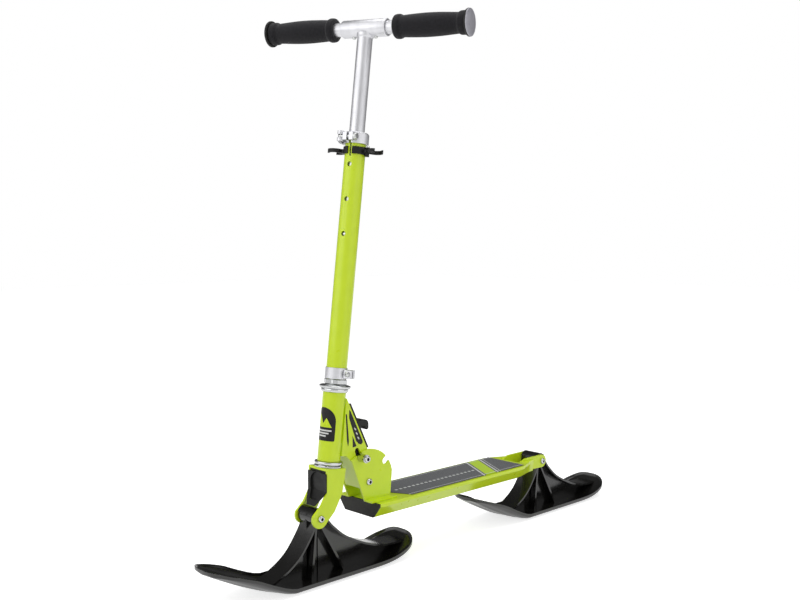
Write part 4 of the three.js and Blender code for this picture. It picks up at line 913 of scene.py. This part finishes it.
# Crown race, bearing cover and hexagon locknut: turned steel, bright chromium plated, pressed or
# screwed on the steerer tube.
race = hollow([(14.3, 0.3), (23.2, 0.3), (23.5, 0.7), (23.5, 2.1), (22.1, 3.9), (14.3, 3.9)])
formed("crown_race", [race], steering, chrome, "fork", ["headset_race"], 0.1)
cover = hollow([
    (14.3, 128.7), (25, 128.7), (25.7, 129.1), (26, 129.8), (26, 131.9), (25.4, 132.7),
    (23.5, 133.6), (18.6, 134.6), (17.5, 134.9), (14.3, 134.9),
])
formed("bearing_cover", [cover], steering, chrome, "fork", ["headset_cover"], 0.1)
locknut = hollow([
    (14.3, 135.2), (17, 135.2), (17.5, 135.9, "hexagon"), (17.5, 142.2, "hexagon"), (17, 143),
    (14.7, 143), (14.3, 142.6),
], 96)
formed(
    "steerer_locknut", [locknut], steering, chrome, "fork", ["headset_locknut"], 0.15
)

# Front pivot bolt and nut: chromium plated socket-head bolt and zinc plated nut, as at the rear,
# across the fork's legs.
LEG_THICKNESS = 4
leg_seat = ARM_INSIDE + LEG_THICKNESS + SEAT_GAP
cross_bolt(
    "front_pivot_bolt", "front_pivot_nut", leg_seat, FRONT_PIVOT, PIVOT_HEIGHT, "fork", "front"
)

# ----------------------------------------------------------
# Lower clamp: a split aluminium collar with a cross bolt that fixes the column on the steerer.
# The column is set a little to the left.
COLUMN_TURN = math.radians(20)
column = steering @ Matrix.Rotation(COLUMN_TURN, 4, "Z")
satin_silver = surface("satin_aluminium", (0.7, 0.7, 0.725), 0.4, 1.0)
drawn = grain(satin_silver, 90, 4, (1, 1, 0.25))
tint(satin_silver, drawn, (0.665, 0.665, 0.69), (0.735, 0.735, 0.76))
smudge(satin_silver, grain(satin_silver, 260, 4, (1, 1, 0.12)), 0.36, 0.46)
emboss(satin_silver, grain(satin_silver, 1400, 2, (1, 1, 0.08)), 0.00003, 0.35)
refined("lower_clamp", "steerer_collar", satin_silver, "column", 0.6)
clamp_bolt = socket_bolt(2.5, 15.6, 4.4, 4.4, 3.7, 2.4)
TO_BACK = Matrix.Rotation(-QUARTER_TURN, 4, "X")
clamp_place = column @ at(24.7, -7.8, 152.8) @ TO_BACK
formed(
    "collar_bolt", [clamp_bolt], clamp_place, zinc, "column", ["lower_clamp_bolt"], 0
)

# ----------------------------------------------------------
# Column tube: a drawn aluminium tube, painted lime, slit at its top for clamping and drilled at
# three heights for the stem's spring button.


def carved(part, cutters):
    """Closed forms in millimetres with others taken away, as one mesh part."""
    made = []
    for verts, faces in [part, *cutters]:
        mesh = bpy.data.meshes.new("work")
        mesh.from_pydata(verts, [], faces)
        work = bmesh.new()
        work.from_mesh(mesh)
        bmesh.ops.recalc_face_normals(work, faces=work.faces)
        work.to_mesh(mesh)
        work.free()
        made.append(shown("work", mesh))
    for tool in made[1:]:
        step = made[0].modifiers.new("carve", "BOOLEAN")
        step.operation = "DIFFERENCE"
        step.solver = "EXACT"
        step.object = tool
    bpy.context.view_layer.update()
    result = made[0].evaluated_get(bpy.context.evaluated_depsgraph_get()).data
    verts = [tuple(v.co) for v in result.vertices]
    faces = [tuple(p.vertices) for p in result.polygons]
    for piece in made:
        bpy.data.objects.remove(piece)
    return verts, faces


TO_FRONT = Matrix.Rotation(QUARTER_TURN, 4, "X")


def drill(radius, depth, height):
    """A round cutter towards the column's front."""
    tool = turned([(0, 0), (radius, 0), (radius, depth), (0, depth)], 48)
    return moved(tool, Matrix.Translation((0, 0, height)) @ TO_FRONT)


LOW_HOLE, MIDDLE_HOLE, HIGH_HOLE, HOLE_RADIUS, HOLE_DEPTH = 380, 437, 494, 4, 22
tube = hollow([
    (14.3, 143.9), (16.6, 143.9), (16.6, 162.3), (17, 162.3), (17, 535), (14.3, 535),
])
saw_slit = slab([(-22, 507), (0, 507)], [(-22, 540), (0, 540)], -1.5, 1.5)
holes = [drill(HOLE_RADIUS, HOLE_DEPTH, z) for z in (HIGH_HOLE, MIDDLE_HOLE, LOW_HOLE)]
tube = carved(tube, holes + [saw_slit])
formed("column_tube", [tube], column, lime_paint, "column", ["lower_tube"], 0.25, 40)
refined("height_sleeve", "guide_sleeve", black_plastic, "column", 0.2)

# ----------------------------------------------------------
# Height clamp: a cast aluminium collar with two ears on the column's slit top, closed by a cast
# cam lever on a zinc plated steel skewer with a round nut.
refined("height_clamp", "cast_collar", satin_silver, "column", 0.8, rounds=3)
refined("height_lever", "cam_lever", satin_silver, "height_lever", 1.0, rounds=3)
refined("height_skewer", "clamp_skewer", zinc, "column", 0.2)
refined("height_lever_pin", "cam_pin", zinc, "column", 0.2)
SKEWER_Y, SKEWER_Z = -25.45, 537.5
skewer_nut = hollow([
    (2.8, 9.8), (5.2, 9.8), (5.6, 10.2), (5.6, 14.3), (5.1, 15.2), (4.2, 15.5), (2.8, 15.5),
], 96)
nut_place = column @ at(0, SKEWER_Y, SKEWER_Z) @ TO_LEFT
formed("skewer_nut", [skewer_nut], nut_place, zinc, "column", ["height_nut"], 0.1)

# ----------------------------------------------------------
# Clip bracket: a black moulded band on the column with two open clips that hold the handles when
# they are pulled out of the bar, and the screw that closes it.
refined("clip_bracket", "clip_band", black_plastic, "column", 0.5)
refined("clip_screw", "clip_band_screw", zinc, "column", 0.25)

# ----------------------------------------------------------
# Stem and cross tube: bright aluminium tubes, the cross tube welded on the stem's top end, with a
# satin clear finish.
TEE, STEM_TOP = 720.7, 13
stem = hollow([
    (10.5, 352), (14, 352), (14, 359.6), (12.9, 360), (12.7, 360.4), (12.7, TEE - STEM_TOP),
    (10.5, TEE - STEM_TOP),
])
STEM_HOLE, STEM_HOLE_DEPTH = 3.9, 20
stem = carved(stem, [drill(STEM_HOLE, STEM_HOLE_DEPTH, LOW_HOLE)])
cross = hollow([
    (11.4, -41), (13.6, -41), (14.1, -40.7), (14.4, -40), (14.4, 40), (14.1, 40.7), (13.6, 41),
    (11.4, 41),
])
cross = moved(cross, Matrix.Translation((0, 0, TEE)) @ TO_LEFT)
GRIP_BUTTON_PLACE, GRIP_BUTTON_HOLE, HOLE_REACH = 20, 3.5, 18
hole_bit = turned(
    [(0, 0), (GRIP_BUTTON_HOLE, 0), (GRIP_BUTTON_HOLE, HOLE_REACH), (0, HOLE_REACH)], 48
)
cross = carved(cross, [
    moved(hole_bit, Matrix.Translation((side * GRIP_BUTTON_PLACE, 0, TEE - HOLE_REACH)))
    for side in (-1, 1)
])
weld = hollow([
    (12.2, TEE - 17.2), (13.1, TEE - 15.9), (14.2, TEE - 14.1), (14.2, TEE - 9), (12.2, TEE - 9),
])
formed(
    "stem_and_cross_tube", [stem, cross, weld], column, satin_silver, "stem", ["height_stem"],
    0.2,
)

# Height button: a zinc plated steel button on a spring behind the stem's wall, which snaps into
# the column's holes.
button_place = column @ at(0, 0, LOW_HOLE) @ TO_FRONT
height_dome = turned([(0, 8), (3.6, 8), (3.6, 12.6), (3.3, 13.3), (2.5, 13.8), (1.3, 14), (0, 14)])
button = "height_button"
formed("height_spring_button", [height_dome], button_place, zinc, button, [button], 0)

# ----------------------------------------------------------
# Handles: an aluminium tube on each side, pushed into the cross tube and held by a spring button,
# with a moulded foam grip and a domed grey end plug.
foam = surface("grip_foam", (0.013, 0.0125, 0.0145), 0.95)
shine(foam, 0.2)
tint(foam, grain(foam, 900, 4), (0.009, 0.0086, 0.0102), (0.022, 0.0212, 0.0245))
foam_nodes, foam_links = graph(foam)
pores = foam_nodes.new("ShaderNodeTexVoronoi")
pores.inputs["Scale"].default_value = 900
foam_links.new(own_place(foam), pores.inputs["Vector"])
emboss(foam, pores.outputs["Distance"], 0.0005, 0.6)
emboss(foam, grain(foam, 260, 4), 0.0006, 0.5)
shader_of(foam).inputs["Sheen Weight"].default_value = 0.15
plug_grey = surface("end_plug_grey", (0.42, 0.415, 0.46), 0.36, 0.5)
tint(plug_grey, grain(plug_grey, 300, 3), (0.39, 0.385, 0.43), (0.45, 0.445, 0.49))
smudge(plug_grey, grain(plug_grey, 500, 3), 0.28, 0.42)

GRIP_START, GRIP_END, GRIP_RADIUS, GRIP_BORE, GRIP_MOST = 55.5, 181, 19, 11.4, 19.76
GRIP_FORM = [
    (0, 0.9), (0.006, 0.97), (0.02, 1.02), (0.06, 1.04), (0.085, 1), (0.11, 0.92), (0.22, 0.955),
    (0.42, 1), (0.62, 0.98), (0.82, 0.9), (0.885, 0.88), (0.91, 0.95), (0.93, 0.985),
    (0.985, 0.99), (0.995, 0.97), (1, 0.9),
]
grip_length = GRIP_END - GRIP_START - SEAT_GAP
grip_points = [(GRIP_START + a * grip_length, GRIP_RADIUS * r) for a, r in GRIP_FORM]
grip_form = [(GRIP_BORE, GRIP_START)]
grip_form += [(min(r, GRIP_MOST), a) for a, r in smooth_line(grip_points, 5)]
grip_form.append((GRIP_BORE, GRIP_END - SEAT_GAP))
grip = hollow(grip_form, 96)
plug = turned([
    (0, 167), (8.9, 167), (8.9, 181.3), (20.6, 181.3), (21.5, 181.6), (21.95, 182.6),
    (21.95, 184.9), (21.5, 185.6), (20.6, 186), (17.5, 186.9), (13, 187.9), (8, 188.6),
    (3, 188.9), (0, 188.9),
])
PLUG_FACE = 185
handle = hollow([(9.2, 12), (10.7, 12), (11.1, 12.5), (11.1, 180.6), (10.7, 181), (9.2, 181)], 96)
hole_place = Matrix.Translation((0, 0, GRIP_BUTTON_PLACE)) @ TO_LEFT
handle = carved(handle, [moved(hole_bit, hole_place)])
knob = turned(
    [(0, -17.2), (1.9, -17.1), (2.8, -16.5), (3.2, -15.6), (3.2, -11.4), (0, -11.4)], 64
)
for side, turn in (("left", 0), ("right", math.pi)):
    seat = column @ at(0, 0, TEE) @ Matrix.Rotation(turn, 4, "Z")
    along = seat @ TO_LEFT
    body, node = "handle_" + side, "handle_tube_" + side
    formed("grip_tube_" + side, [handle], along, satin_silver, body, [node], 0)
    formed("foam_grip_" + side, [grip], along, foam, body, ["grip_" + side], 0, 60)
    node = "bar_end_" + side
    made = formed("end_plug_" + side, [plug], along, plug_grey, body, [node], 0)
    two_toned(made, along, black_plastic, lambda off, out: out < PLUG_FACE)
    under = seat @ at(GRIP_BUTTON_PLACE, 0, 0)
    button = "handle_button_" + side
    formed("grip_button_" + side, [knob], under, zinc, button, [button], 0)

# ----------------------------------------------------------
# Floor and backdrop: plain white paper, lit evenly, with the scooter's soft shadow. It glows a
# little towards the camera and in reflections, so that it stays white without harsh lamps.
FLOOR_HALF, FLOOR_DROP, SEEN_GLOW, MIRRORED_GLOW = 9, -0.0005, 0.7, 0.45
corners = [(FLOOR_HALF * x, FLOOR_HALF * y, 0) for x, y in ((-1, -1), (1, -1), (1, 1), (-1, 1))]
floor_mesh = bpy.data.meshes.new("studio_floor")
floor_mesh.from_pydata(corners, [], [(0, 1, 2, 3)])
floor = shown("studio_floor", floor_mesh)
floor.location = (0, 0, FLOOR_DROP)
paper = surface("white_paper", (0.8, 0.8, 0.8), 0.9)
shine(paper, 0.1)
paper_nodes, paper_links = graph(paper)
ray = paper_nodes.new("ShaderNodeLightPath")
seen = maths(paper, "MULTIPLY", ray.outputs["Is Camera Ray"], SEEN_GLOW)
mirrored = maths(paper, "MULTIPLY", ray.outputs["Is Glossy Ray"], MIRRORED_GLOW)
glow = paper_nodes.new("ShaderNodeEmission")
paper_links.new(maths(paper, "ADD", seen, mirrored), glow.inputs["Strength"])
both = paper_nodes.new("ShaderNodeAddShader")
paper_links.new(shader_of(paper).outputs["BSDF"], both.inputs[0])
paper_links.new(glow.outputs["Emission"], both.inputs[1])
paper_links.new(both.outputs["Shader"], paper_nodes["Material Output"].inputs["Surface"])
floor_mesh.materials.append(paper)

# Studio air: white behind the scooter. In reflections it is a grey room, light low down and on
# the photographer's side.
world = bpy.data.worlds.new("studio_air")
world.use_nodes = True
bpy.context.scene.world = world
air = world.node_tree.nodes["Background"]
air_nodes, air_links = graph(world)
air_way = air_nodes.new("ShaderNodeTexCoord")
air_parts = air_nodes.new("ShaderNodeSeparateXYZ")
air_links.new(air_way.outputs["Generated"], air_parts.inputs["Vector"])


def greys(stops):
    """A ramp of greys from (place, shade) stops, for the air."""
    ramp = air_nodes.new("ShaderNodeValToRGB")
    first, last = ramp.color_ramp.elements
    first.position, last.position = stops[0][0], stops[-1][0]
    for stop, (place, shade) in ((first, stops[0]), (last, stops[-1])):
        stop.color = (shade, shade, shade, 1)
    for place, shade in stops[1:-1]:
        ramp.color_ramp.elements.new(place).color = (shade, shade, shade, 1)
    return ramp


height_shade = greys([(0, 0.72), (0.12, 0.85), (0.34, 0.9), (0.46, 0.3), (0.7, 0.25), (1, 0.3)])
air_links.new(air_parts.outputs["Z"], height_shade.inputs["Fac"])
air_ray = air_nodes.new("ShaderNodeLightPath")
air_mix = air_nodes.new("ShaderNodeMix")
air_mix.data_type = "RGBA"
air_mix.inputs["B"].default_value = (1, 1, 1, 1)
air_links.new(air_ray.outputs["Is Camera Ray"], air_mix.inputs["Factor"])
air_links.new(height_shade.outputs["Color"], air_mix.inputs["A"])
air_links.new(air_mix.outputs["Result"], air.inputs["Color"])
FRONT_SIDE = (0.69, -0.72, 0)
front_share = air_nodes.new("ShaderNodeVectorMath")
front_share.operation = "DOT_PRODUCT"
front_share.inputs[1].default_value = FRONT_SIDE
air_links.new(air_way.outputs["Generated"], front_share.inputs[0])
side_shade = greys([(0, 0.12), (0.2, 0.3), (0.45, 0.68), (0.75, 1.0), (1, 1)])
share = maths(world, "MULTIPLY_ADD", front_share.outputs["Value"], 0.5, 0.5)
air_links.new(share, side_shade.inputs["Fac"])
unmirrored = maths(world, "SUBTRACT", 1, air_ray.outputs["Is Glossy Ray"])
mirrored_air = maths(world, "MAXIMUM", side_shade.outputs["Color"], unmirrored)
air_links.new(mirrored_air, air.inputs["Strength"])

# Studio lamps: a large soft box high on the camera's left, a weaker one on its right, and one
# over the top.
LAMP_AIM = Vector((0, 0, 0.35))
for name, spot, size, power in (
    ("key_box", (-0.6, -2.1, 1.9), 3.2, 33),
    ("fill_box", (2.3, 0.5, 1.2), 2.8, 12),
    ("top_box", (0.1, 0.3, 2.5), 1.8, 22),
):
    lamp = bpy.data.lights.new(name, "AREA")
    lamp.shape = "SQUARE"
    lamp.size = size
    lamp.energy = power
    holder = shown(name, lamp)
    holder.location = spot
    aim = (LAMP_AIM - Vector(spot)).to_track_quat("-Z", "Y")
    holder.rotation_euler = aim.to_euler()

bpy.context.scene.view_settings.view_transform = "Standard"
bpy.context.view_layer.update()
